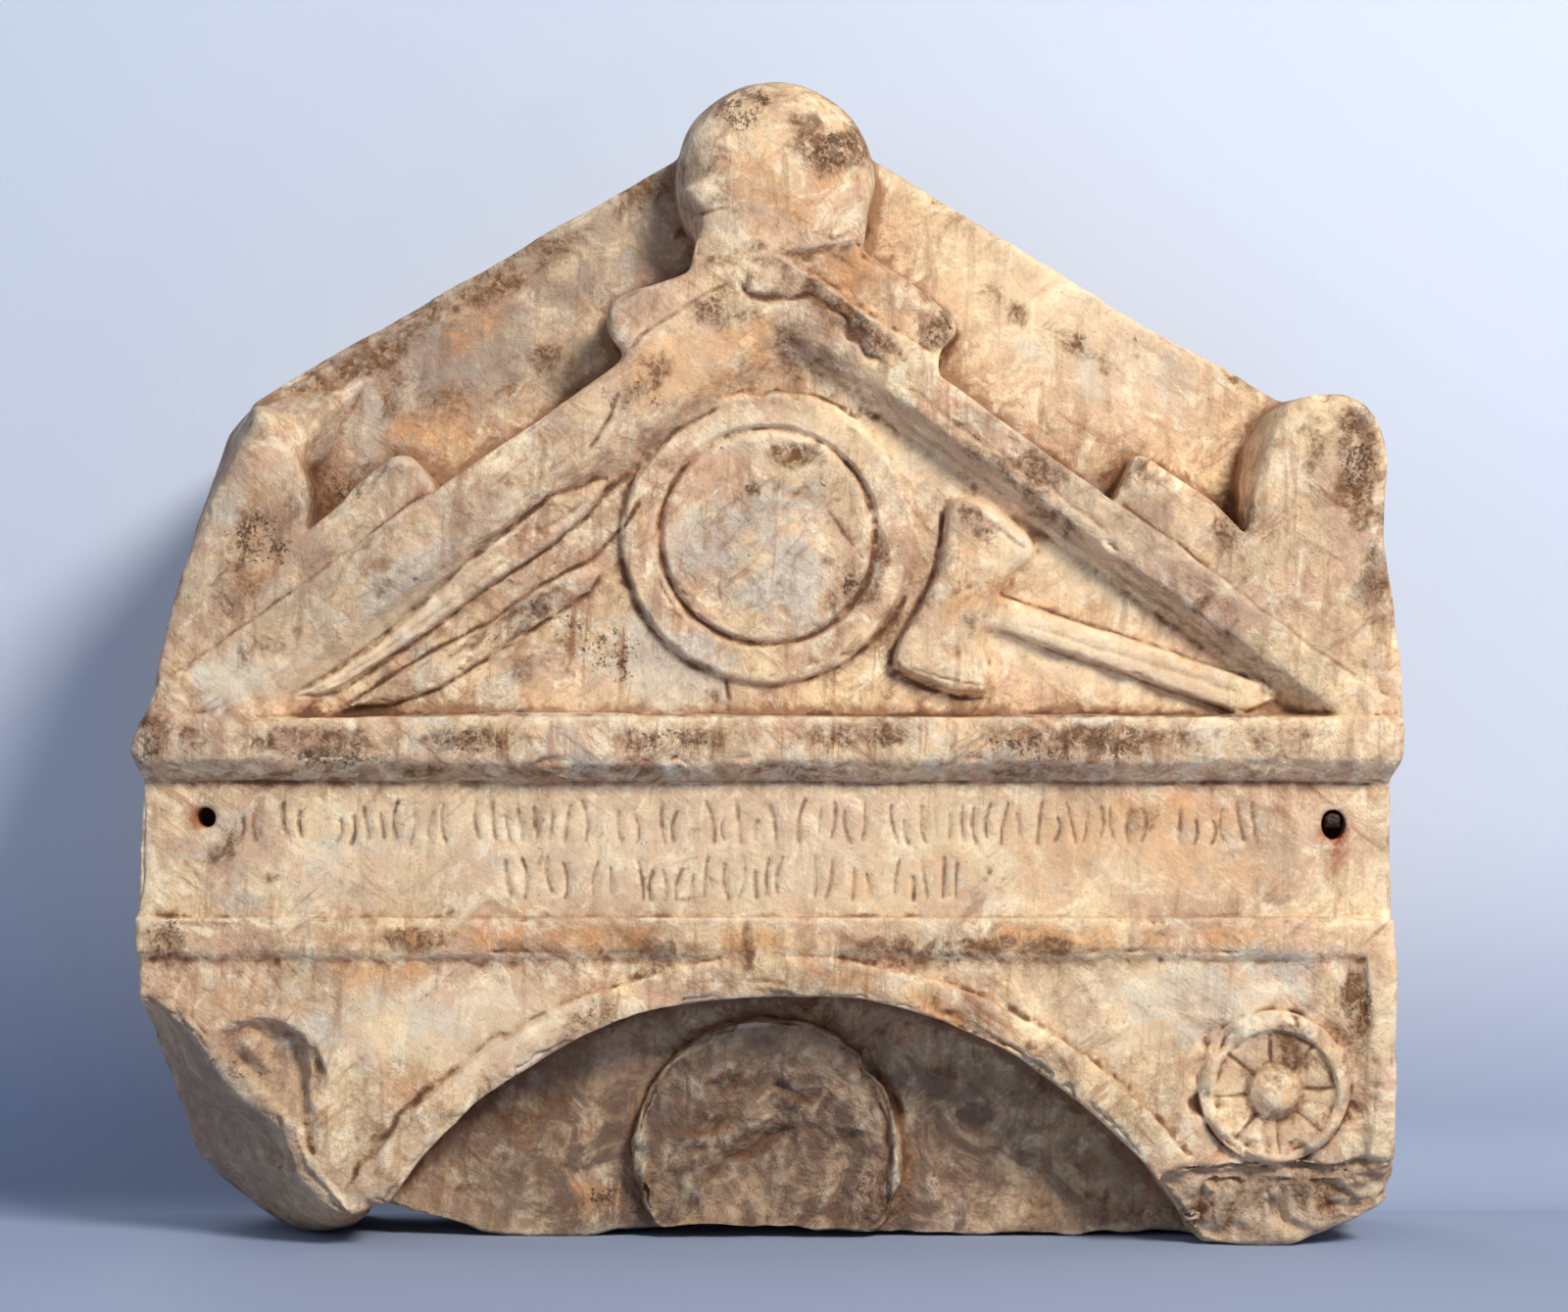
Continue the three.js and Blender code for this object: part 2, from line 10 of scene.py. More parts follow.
import bpy
import numpy as np
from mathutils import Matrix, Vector


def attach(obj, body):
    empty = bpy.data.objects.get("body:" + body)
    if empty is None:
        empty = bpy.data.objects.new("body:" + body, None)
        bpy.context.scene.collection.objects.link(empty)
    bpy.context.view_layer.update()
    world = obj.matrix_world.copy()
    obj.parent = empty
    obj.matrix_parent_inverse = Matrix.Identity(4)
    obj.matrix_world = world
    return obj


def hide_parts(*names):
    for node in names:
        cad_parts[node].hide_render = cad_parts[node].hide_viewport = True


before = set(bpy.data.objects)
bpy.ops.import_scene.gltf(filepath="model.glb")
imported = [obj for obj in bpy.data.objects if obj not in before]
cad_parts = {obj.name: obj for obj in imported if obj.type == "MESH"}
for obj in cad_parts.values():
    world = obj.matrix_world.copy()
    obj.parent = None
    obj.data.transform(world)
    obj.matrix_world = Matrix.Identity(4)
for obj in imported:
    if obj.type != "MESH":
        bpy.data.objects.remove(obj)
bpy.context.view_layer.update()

# ---- Sizes, in millimetres ----
MM = 0.001
HALF_THICKNESS = 73
BLOCK_VOXEL = 1.05
PIN_VOXEL = 0.35
BLOCK_TRIANGLES = 196000
PIN_TRIANGLES = 9000

FRIEZE_DEPTH = 15.5
FIELD_DEPTH = 21
FRIEZE_FOOT = 158
FRIEZE_TOP = 226
NICHE_DEPTH = 62
NICHE_START = 40                 # what lies deeper than this, and not past the end, is in the niche
NICHE_END = 80
PIER_EDGE = 190                  # where the right pier's broken stump begins
EAVES = 200                      # the ashen skin and its painted shade lie above this height and on the corner's break
SHIELD = (0.6, 344.5)
SHIELD_RADIUS = 70.5
DISC_RADIUS = 50.5
ARCH = (7.3, -106.5)
ARCH_RADIUS = 229.5
HEAD = (1.0, 41.0)
HEAD_RADIUS = 67
ROSETTE = (245.8, 78.4)
ROSETTE_RADIUS = 36
BOSS = (245.8, 75.9)
LEFT_SCAR = (-243.0, 84.0)

LATTICE = 64                     # random values per side of a noise lattice
SEED = 4107


# ---- Arrays from meshes ----

def read(items, name, width, kind=np.float32):
    """One property of all a mesh's items, as an array with that many columns."""
    values = np.empty(len(items) * width, kind)
    items.foreach_get(name, values)
    return values.reshape(-1, width)


class Surface:
    """A mesh as arrays: points in millimetres, normals, edges, and the darkness of its cut lines,
    dirt and painted shade.
    """

    def __init__(self, mesh):
        self.mesh = mesh
        self.points = read(mesh.vertices, "co", 3) / MM
        self.edges = read(mesh.edges, "vertices", 2, np.int32)
        self.count = len(self.points)
        ends = self.edges.ravel()
        self.degree = np.bincount(ends, minlength=self.count).astype(np.float32)
        self.lines = np.zeros(self.count, np.float32)
        self.refresh()

    def refresh(self):
        """Writes the points back to the mesh and reads its normals again."""
        self.mesh.vertices.foreach_set("co", (self.points * MM).ravel())
        self.mesh.update()
        self.normals = read(self.mesh.vertex_normals, "vector", 3)
        self.x = self.points[:, 0]
        self.depth = self.points[:, 1] + HALF_THICKNESS
        self.z = self.points[:, 2]

    def blur(self, values, rounds):
        """Each value becomes the mean of its neighbours' values, that many times."""
        first = self.edges[:, 0]
        second = self.edges[:, 1]
        for _ in range(rounds):
            total = np.bincount(first, values[second], self.count)
            total += np.bincount(second, values[first], self.count)
            values = (total / self.degree).astype(np.float32)
        return values

    def blur_points(self, rounds):
        return np.stack([self.blur(self.points[:, i], rounds) for i in range(3)], axis=1)

    def spread(self, numbers, values):
        """An array with the values at those points, and 0 elsewhere."""
        spread = np.zeros(self.count, np.float32)
        spread[numbers] = values
        return spread

    def facing_front(self):
        return np.clip(-self.normals[:, 1] * 1.6 - 0.15, 0, 1)

    def push(self, amount):
        """Moves each point out along its normal."""
        self.points = self.points + self.normals * amount[:, None]

    def sink(self, amount):
        """Moves the points that face the front straight back."""
        self.points[:, 1] += amount * self.facing_front()

    def soften(self, share, rounds):
        """Smooths the surface where the share is above 0, and by that share each round."""
        chosen = share > 0.01
        numbers = np.flatnonzero(chosen)
        place = np.full(self.count, -1, np.int32)
        place[numbers] = np.arange(len(numbers), dtype=np.int32)
        first, second = place[self.edges[chosen[self.edges].all(axis=1)]].T
        total = len(numbers)
        degree = np.bincount(first, minlength=total) + np.bincount(second, minlength=total)
        degree = np.maximum(degree, 1)[:, None]
        points = self.points[numbers]
        strength = share[numbers][:, None]
        for _ in range(rounds):
            sums = np.stack([
                np.bincount(first, points[second, i], total)
                + np.bincount(second, points[first, i], total)
                for i in range(3)
            ], axis=1)
            points = (points + (sums / degree - points) * strength).astype(np.float32)
        self.points[numbers] = points
        self.refresh()


def smoothstep(values, low, high):
    share = np.clip((values - low) / (high - low), 0, 1)
    return share * share * (3 - 2 * share)


# ---- Noise ----

def turn_points(points, seed):
    """The points turned a fixed random way, so that a lattice's own directions never show."""
    rng = np.random.default_rng(SEED + seed)
    turn, _ = np.linalg.qr(rng.normal(size=(3, 3)))
    return points @ turn.astype(np.float32) + rng.uniform(0, 900, 3).astype(np.float32)


def noise(points, size, seed):
    """Smooth random values, about -1 to 1, that change over size millimetres."""
    values = np.random.default_rng(SEED + seed).uniform(-1.3, 1.3, LATTICE ** 3).astype(np.float32)
    place = turn_points(points, seed) / np.float32(size)
    cell = np.floor(place)
    share = place - cell
    share = share * share * share * (share * (share * 6 - 15) + 10)
    cell = cell.astype(np.int32)
    low = cell & (LATTICE - 1)
    high = (cell + 1) & (LATTICE - 1)
    rows = (low[:, 0] * LATTICE * LATTICE, high[:, 0] * LATTICE * LATTICE)
    columns = (low[:, 1] * LATTICE, high[:, 1] * LATTICE)
    layers = (low[:, 2], high[:, 2])
    total = np.zeros(len(points), np.float32)
    for i, row in enumerate(rows):
        across = share[:, 0] if i else 1 - share[:, 0]
        for j, column in enumerate(columns):
            up = share[:, 1] if j else 1 - share[:, 1]
            for k, layer in enumerate(layers):
                back = share[:, 2] if k else 1 - share[:, 2]
                total += values[row + column + layer] * across * up * back
    return total


def layered_noise(points, size, seed, layers=3, fall=0.5):
    total = np.zeros(len(points), np.float32)
    strength = 1.0
    for i in range(layers):
        total += noise(points, size * 0.5 ** i, seed + i) * strength
        strength *= fall
    return total


def warp(points, size, reach, seed):
    """The points shifted by smooth random amounts, so that what is measured from them wanders."""
    return points + np.stack([noise(points, size, seed + i) for i in range(3)], axis=1) * reach


def scoops(points, size, seed):
    """Overlapping shallow scoops: 0 in the middle of each one, about 1 on the ridges between."""
    rng = np.random.default_rng(SEED + seed)
    offsets = rng.uniform(0.1, 0.9, (LATTICE ** 3, 3)).astype(np.float32)
    place = turn_points(points, seed) / np.float32(size)
    cell = np.floor(place).astype(np.int32)
    nearest = np.full(len(points), 9, np.float32)
    for step in np.ndindex(3, 3, 3):
        other = cell + np.array(step, np.int32) - 1
        wrapped = other & (LATTICE - 1)
        key = (wrapped[:, 0] * LATTICE + wrapped[:, 1]) * LATTICE + wrapped[:, 2]
        gap = other + offsets[key] - place
        nearest = np.minimum(nearest, np.einsum("ij,ij->i", gap, gap))
    return np.sqrt(nearest)


# ---- Shapes on the front, measured in x and z ----

def from_path(surface, path, reach, wander=0):
    """The points within reach of a path: their numbers, distances and shares of its length."""
    path = np.array(path, np.float32)
    low = path.min(0) - reach
    high = path.max(0) + reach
    near = np.flatnonzero(
        (surface.x > low[0]) & (surface.x < high[0])
        & (surface.z > low[1]) & (surface.z < high[1])
        & (surface.normals[:, 1] < 0)
    )
    spot = surface.points[near]
    if wander:
        spot = warp(spot, 8, wander, 71)
    spot = spot[:, [0, 2]]
    best = np.full(len(near), 1e9, np.float32)
    share = np.zeros(len(near), np.float32)
    steps = np.linalg.norm(np.diff(path, axis=0), axis=1)
    start = np.concatenate([[0], np.cumsum(steps)])
    for i, step in enumerate(steps):
        line = (path[i + 1] - path[i]) / step
        along = np.clip((spot - path[i]) @ line, 0, step)
        gap = np.linalg.norm(spot - path[i] - along[:, None] * line, axis=1)
        closer = gap < best
        best[closer] = gap[closer]
        share[closer] = (start[i] + along[closer]) / start[-1]
    return near, best, share


def from_centre(surface, centre):
    """Each point's distance from a centre on the front, and its angle in degrees."""
    dx = surface.x - centre[0]
    dz = surface.z - centre[1]
    return np.hypot(dx, dz), np.degrees(np.arctan2(dz, dx))


def inside(surface, outline):
    """Which points lie inside an outline on the front."""
    crossed = np.zeros(surface.count, bool)
    for (x1, z1), (x2, z2) in zip(outline, outline[1:] + outline[:1]):
        spans = (z1 > surface.z) != (z2 > surface.z)
        if z1 != z2:
            crossed ^= spans & (surface.x < (x2 - x1) * (surface.z - z1) / (z2 - z1) + x1)
    return crossed


def patch(surface, x, z, half_width, half_height, tilt=0, strength=1):
    """The strength in the middle of a tilted ellipse on the front, falling to 0 past its edge."""
    angle = math.radians(tilt)
    dx = surface.x - x
    dz = surface.z - z
    across = (dx * math.cos(angle) + dz * math.sin(angle)) / half_width
    up = (dz * math.cos(angle) - dx * math.sin(angle)) / half_height
    return (1 - smoothstep(np.hypot(across, up), 0.45, 1.25)) * strength


def cut_groove(surface, path, width, depth, fade=0.12, wander=0, dirt_and_shade=0):
    """Sinks a groove of rounded section along a path; it fades out at both ends. Its darkness, dirt
    and painted shade, goes into the surface's lines.
    """
    near, gap, share = from_path(surface, path, width / 2 + 2 * wander + 1, wander)
    half = np.full(len(near), width / 2, np.float32)
    if wander:
        half *= 1 + 0.35 * noise(surface.points[near], 11, 76)
    ends = smoothstep(np.minimum(share, 1 - share), 0, fade) if fade else 1
    section = np.clip(1 - (gap / half) ** 2, 0, 1) * ends
    surface.lines[near] = np.maximum(surface.lines[near], section * dirt_and_shade)
    surface.sink(surface.spread(near, section * depth))


def lower_face(surface, outline, depth, ease, wander=0):
    """Sinks the face inside an outline, easing in from its edge; below 0 it raises it."""
    near, gap, _ = from_path(surface, outline + outline[:1], 1, wander)
    amount = surface.spread(near, depth * smoothstep(gap, 0, ease))
    surface.sink(amount * inside(surface, outline))


# ---- The carving ----

# The lower left corner's break, as its outline on the front.
CORNER_BREAK = [
    (-340, 128), (-304, 122), (-288, 117), (-273, 105), (-265, 93), (-246, 76), (-228, 58),
    (-222, 40), (-209, 25), (-198, 12), (-186, -30), (-340, -30),
]
# The left rosette's scar, between its rim and that break, and the lump left standing in it.
SCAR_RIM = [
    (-267, 97), (-264, 106), (-252, 111), (-233, 110), (-224, 102), (-220, 83), (-218, 64),
    (-215, 44), (-222, 42), (-228, 58), (-246, 76), (-263, 93),
]
SCAR_LUMP = [
    (-263, 98), (-258, 105), (-245, 107), (-237, 99), (-235, 86), (-241, 78), (-250, 82),
]
# The strip that broke away unevenly above the right pier's fracture.
PIER_STRIP = [
    (188, 33), (196, 39), (206, 44), (219, 41), (231, 47), (247, 42), (262, 48), (276, 41),
    (290, 46), (314, 41), (314, 33),
]
# The right arm of the saddle, beyond the ridge that runs down it.
ARM_FACE = [
    (4, 481), (32, 461.5), (51, 447.5), (70, 436), (86, 425), (97, 444), (92, 454), (58, 477),
    (46, 488), (26, 484),
]

# Where the stone is worn most, as places like those of the weathering further down.
WORN_PLACES = (
    (4, 516, 66, 60, 0, 0.35), (270, 378, 54, 56, 0, 0.4), (-256, 370, 46, 60, -20, 0.4),
    (74, 444, 32, 30, 0, 0.25), (-62, 446, 30, 26, 0, 0.25), (190, 372, 40, 20, -35, 0.15),
    (-190, 372, 36, 20, 35, 0.15), (95, 315, 40, 60, 0, 0.7), (-300, 250, 26, 24, 0, 0.9),
    (306, 232, 14, 20, 0, 0.6), (-220, 24, 40, 30, 0, 0.9), (250, 8, 60, 14, 0, 0.4),
    (-238, 396, 30, 24, 30, 0.9), (250, 37, 66, 11), (285, 90, 9, 50, 0, 0.8), (70, 344, 12, 46),
    (300, 20, 16, 30, 0, 0.8), (-9, 145, 8, 18, 0, 0.5),
)
# Where the raking cornice's inner arris has gone, so that its face runs down into the field.
LOST_ARRIS = (
    (-48, 425, 54, 22, 36), (-16, 447, 34, 16, 30), (30, 434, 34, 17, -40), (-226, 282, 44, 14, 36),
    (-246, 268, 24, 14),
)


def wear_arrises(surface):
    """Rounds every arris, more in some places than in others."""
    worn = surface.blur_points(7)
    much = np.clip(0.55 + 0.5 * noise(surface.points, 38, 1), 0.25, 1)
    surface.points = surface.points + (worn - surface.points) * much[:, None]
    surface.refresh()
    surface.soften(painted(surface, WORN_PLACES), 30)
    lost = painted(surface, LOST_ARRIS) * (surface.depth < FIELD_DEPTH + 4)
    surface.soften(lost, 160)


def broken_share(surface):
    """1 on fractured stone, 0 on worked faces."""
    radius, _ = from_centre(surface, HEAD)
    radius += 4 * noise(surface.points, 18, 8)
    in_niche = (surface.depth > NICHE_START) & (surface.depth < NICHE_END)
    head = (1 - smoothstep(radius, HEAD_RADIUS - 3, HEAD_RADIUS + 3)) * in_niche
    scar, _ = from_centre(surface, LEFT_SCAR)
    left = 1 - smoothstep(scar, 27, 33)
    level = surface.z + 5 * noise(surface.points, 17, 9)
    pier = smoothstep(surface.x, PIER_EDGE - 4, PIER_EDGE + 4) * (1 - smoothstep(level, 37, 41))
    under = smoothstep(-surface.normals[:, 2], 0.35, 0.7) * (1 - smoothstep(surface.z, 18, 32))
    corner = inside(surface, CORNER_BREAK) * 1.0
    return np.maximum.reduce([head, left * (surface.depth < NICHE_START), pier, under, corner])


def weather_faces(surface):
    """The unevenness of worn hand-worked faces, stronger on the front than behind."""
    front = surface.facing_front()
    frieze = (surface.depth > FRIEZE_DEPTH - 4) & (surface.depth < FRIEZE_DEPTH + 3)
    frieze &= (surface.z > FRIEZE_FOOT) & (surface.z < FRIEZE_TOP)
    much = np.where(frieze, 0.5, 1.0)
    points = surface.points
    amount = 0.9 * noise(points, 62, 2)
    amount += much * 0.8 * noise(points, 27, 3)
    amount += much * (0.12 + 0.33 * front) * layered_noise(points, 12, 4, 3, 0.55)
    bent = warp(points, 22, 8, 90)
    hollows = smoothstep(layered_noise(bent, 19, 6, 4, 0.6), 0.3, 1.7)
    amount -= much * front * 0.6 * hollows
    surface.push(amount)
    surface.refresh()


def roughen_breaks(surface, broken):
    """Fractured stone: scoops and steps, wavier and smoother on the lower left corner."""
    corner = inside(surface, CORNER_BREAK) & (surface.depth > 14)
    strength = np.where(surface.depth > NICHE_START, 0.8, 1.0)
    strength[(surface.x > PIER_EDGE - 4) & (surface.z < 60)] = 2.4
    strength[surface.normals[:, 2] < -0.5] = 0.5
    strength[inside(surface, SCAR_RIM)] = 0.5
    rough = np.flatnonzero((broken > 0.02) & ~corner)
    spots = warp(surface.points[rough], 20, 7, 92)
    amount = np.zeros(surface.count, np.float32)
    amount[rough] = 2.6 * layered_noise(spots, 26, 10, 4, 0.42)
    amount[rough] += 2.4 * (scoops(spots, 21, 15) - 0.6)
    amount[rough] += 0.9 * layered_noise(spots, 8, 12, 3)
    wavy = np.flatnonzero(corner)
    spots = warp(surface.points[wavy], 40, 14, 93)
    along = spots * np.array([0.5, 1, 1.3], np.float32)
    amount[wavy] = 4.4 * noise(spots, 44, 20) + 1.5 * noise(along, 17, 21)
    amount[wavy] += 0.5 * layered_noise(spots, 8, 22, 2)
    surface.push(np.minimum(amount * broken * strength, 1.5))
    surface.refresh()


def chip_edges(surface):
    """Knocks small flakes off the arrises and bites off the longer edges."""
    worn = surface.blur_points(8)
    ridge = np.einsum("ij,ij->i", surface.points - worn, surface.normals)
    sharp = smoothstep(ridge, 0.1, 0.55)
    at_edge = np.flatnonzero(sharp > 0.01)
    spots = warp(surface.points[at_edge], 9, 3, 32)
    bite = smoothstep(layered_noise(spots, 19, 30, 3, 0.6), 0.2, 1.2) * 3.4
    bite += smoothstep(noise(spots, 6, 31), 0.15, 0.8) * 1.1
    radius, _ = from_centre(surface, ARCH)
    at_arch = np.abs(radius[at_edge] - ARCH_RADIUS) < 7
    bite += at_arch * 3 * np.clip(layered_noise(spots, 12, 35) + 0.3, 0, 1)
    surface.push(surface.blur(surface.spread(at_edge, -bite * sharp[at_edge]), 1))
    surface.refresh()


def carve_shield(surface):
    """The ring's dished face, the groove inside it, and the rough disc with its scratches; painted
    shade darkens the groove and the ring's outer edge on the lower left.
    """
    radius, angle = from_centre(surface, SHIELD)
    amount = np.zeros(surface.count, np.float32)
    ring = smoothstep(radius, DISC_RADIUS + 4, DISC_RADIUS + 8)
    ring *= 1 - smoothstep(radius, SHIELD_RADIUS - 6, SHIELD_RADIUS - 2)
    amount += ring * 1.2
    face = 1 - smoothstep(radius, DISC_RADIUS - 6, DISC_RADIUS - 1)
    spots = surface.points
    amount += face * (0.9 + 0.45 * layered_noise(warp(spots, 16, 6, 41), 15, 40, 4))
    sheltered = 0.5 - 0.5 * np.sin(np.radians(angle + 45))
    gap = np.clip(1 - ((radius - DISC_RADIUS - 1.6) / 2.4) ** 2, 0, 1)
    amount += (0.4 + 1.2 * sheltered) * gap
    surface.sink(amount)
    # Painted shade in the groove and along the ring's outer edge, on the side turned from the light.
    surface.lines += 0.3 * gap * sheltered
    bite = smoothstep(radius, SHIELD_RADIUS - 4, SHIELD_RADIUS) * (radius < SHIELD_RADIUS + 3)
    surface.lines += 0.8 * bite * sheltered * (noise(spots, 20, 42) > -0.1)
    rng = np.random.default_rng(SEED + 400)
    for _ in range(12):
        x, z = rng.uniform((-38, -34), (14, 16))
        run = rng.uniform(10, 28)
        steep = rng.uniform(0.7, 1.5)
        path = [(x, SHIELD[1] + z), (x + run, SHIELD[1] + z + run * steep)]
        cut_groove(surface, path, 1.8, 0.35, fade=0.3, wander=0.7, dirt_and_shade=0.3)


# Lines cut round the reliefs in the field: path, width, depth, wander and darkness, which is dirt
# and painted shade on the reliefs' shaded sides and at their feet.
TOOL_LINES = (
    # Arcs over the shield, and cracks in it.
    ([(-67.3, 367), (-56, 383), (-43.6, 395.8), (-22.2, 407.7)], 3.4, 1.3, 0.3, 0.8),
    ([(-10, 413), (8, 415), (24, 413), (38, 407)], 2.2, 0.7, 0.4, 0.4),
    ([(30, 357.7), (36, 349), (45.7, 334)], 1.8, 0.8, 0.8, 0.7),
    ([(53.8, 296), (62, 304), (68.1, 317.4)], 2.6, 1.5, 1.2, 0.8),
    ([(-18.9, 276), (-18.2, 268), (-18.9, 259)], 2.2, 1.3, 0.6, 0.8),
    # The upper blade: the crease above it, darkened with painted shade, its back, and its lower
    # edge.
    ([(-231, 267), (-210, 279), (-186, 296), (-162, 317), (-134, 341), (-105, 363), (-76, 376)],
     4.4, 2.6, 0.5, 0.55),
    ([(-222, 268.5), (-206, 275), (-160, 307), (-110, 346), (-84, 364)], 2.2, 0.9, 0.5, 0.3),
    ([(-232, 267), (-207, 269), (-181, 286), (-157, 303), (-133, 321), (-105, 339), (-84, 356)],
     2.6, 1.5, 0.5, 0.7),
    # The lower blade: its upper edge, the rough hollow on its back, and its lower edge.
    ([(-207, 261), (-181, 278), (-157, 292), (-134, 303), (-112, 320), (-84, 334), (-66, 353),
      (-59, 365)], 2.8, 1.7, 0.5, 0.8),
    ([(-155, 286), (-136, 298), (-118, 309), (-98, 322)], 5, 1.3, 2.0, 0.4),
    ([(-183, 262), (-157, 271), (-133, 288)], 2.2, 0.9, 0.5, 0.6),
    # The axe's left side, darkened with painted shadow, its rims and waist, and the edges of its
    # handle.
    ([(62, 279), (60, 287), (72, 308), (81, 327), (84.5, 342), (85, 357), (90, 364)],
     3.2, 1.4, 0.3, 0.8),
    ([(90, 357), (101, 356), (112, 348), (126, 338)], 2.6, 1.0, 0.6, 0.4),
    ([(69, 281), (86, 276), (106, 272.5)], 2, 0.6, 0.4, 0.5),
    ([(64, 276), (82, 270), (94, 266), (107, 266)], 2.6, 1.2, 0.3, 0.7),
    ([(112, 317), (150, 304), (200, 288), (240, 274)], 2.2, 1.0, 0.5, 0.6),
    ([(110, 300), (150, 286), (190, 272), (228, 259)], 2.2, 1.0, 0.5, 0.5),
    ([(122, 303), (160, 291), (205, 277), (232, 268)], 2, 0.6, 0.4, 0.2),
    # The floor of the field, and the feet of its sloping sides.
    ([(-262, 258), (-120, 258.5), (0, 258), (140, 258), (278, 258)], 1.6, 0.3, 0.3, 0.8),
    ([(60, 404), (120, 362), (190, 312), (256, 264)], 3, 0.8, 0.8, 0.35),
)


def cut_lines(surface, lines, fade=0.06):
    for path, width, depth, wander, dirt_and_shade in lines:
        cut_groove(surface, path, width, depth, fade, wander, dirt_and_shade)


# Chips in the rosette's rim: x and z from its middle, size and depth.
RIM_CHIPS = (
    (-27, 24, 8, 3.5), (4, 35, 9, 2.5), (26, 24, 7, 3), (-35, -8, 7, 2.5), (-20, -30, 8, 3),
    (12, -34, 7, 2.5), (35, -12, 7, 2.5),
)


def carve_rosette(surface):
    """The sunk dish with lines between its petals, a dark ring round the boss, and a chipped rim."""
    radius, _ = from_centre(surface, BOSS)
    dish = smoothstep(radius, 12, 14.5) * (1 - smoothstep(radius, 28.5, 31))
    rim = smoothstep(radius, 30, 31.5) * (1 - smoothstep(radius, 32, 34))
    level = np.median(surface.depth[(radius > 32) & (radius < 34)])
    surface.sink(2.4 * dish - rim * np.clip(surface.depth - level, 0, 4))
    for line in range(5, 365, 45):
        turn = math.radians(line)
        path = [
            (BOSS[0] + reach * math.cos(turn), BOSS[1] + reach * math.sin(turn))
            for reach in (12, 21, 30.5)
        ]
        cut_groove(surface, path, 2.1, 0.9, fade=0.1, wander=0.3, dirt_and_shade=0.8)
    surface.lines += 0.5 * np.clip(1 - ((radius - 13) / 1.8) ** 2, 0, 1)
    radius, _ = from_centre(surface, ROSETTE)
    near = (radius < ROSETTE_RADIUS + 2) & (radius > ROSETTE_RADIUS - 9)
    bites = smoothstep(layered_noise(surface.points, 10, 45), -0.1, 1.0)
    amount = near * 1.8 * bites
    for x, z, size, depth in RIM_CHIPS:
        amount += depth * patch(surface, ROSETTE[0] + x, ROSETTE[1] + z, size * 1.3, size)
    surface.sink(amount)


# Slanting breaks and a ridge in the head's bed: path, width, depth, wander and darkness, dirt and
# painted shade.
HEAD_BREAKS = (
    ([(47, 82), (58, 62), (61, 41), (55, 12)], 5, 2.4, 1.5, 0.4),
    ([(-38, 24), (-20, 37), (-4, 42), (12, 55)], 6, 2.4, 1.5, 0.5),
    ([(-34, 43), (-13, 53), (9, 67), (20, 70)], 10, -2.4, 2, 0),
    ([(4, 77), (12, 70), (22, 67)], 4, 1.6, 2, 0.5),
)


def carve_head_scar(surface):
    """The broken bed of the head, sunk nearly to the niche's back, with slanting breaks in it."""
    radius, _ = from_centre(surface, HEAD)
    radius += 5 * noise(surface.points, 24, 47)
    bed = (1 - smoothstep(radius, HEAD_RADIUS - 4, HEAD_RADIUS + 1)) * (surface.depth > NICHE_START)
    surface.sink(5 * bed)
    cut_lines(surface, HEAD_BREAKS, fade=0.12)


def carve_left_scar(surface):
    """Where the left rosette was struck off: a hollow with a rough lump left in it."""
    lower_face(surface, SCAR_RIM, 2.5, 5, wander=1.5)
    lower_face(surface, SCAR_LUMP, -5.5, 9, wander=1.5)
    cut_groove(surface, [(-229, 101), (-226, 90), (-224, 76), (-222, 62)], 9, 3, wander=1)
    cut_groove(surface, [(-303, 120), (-296, 117.5), (-289, 115)], 6, 4, fade=0.3, wander=1)


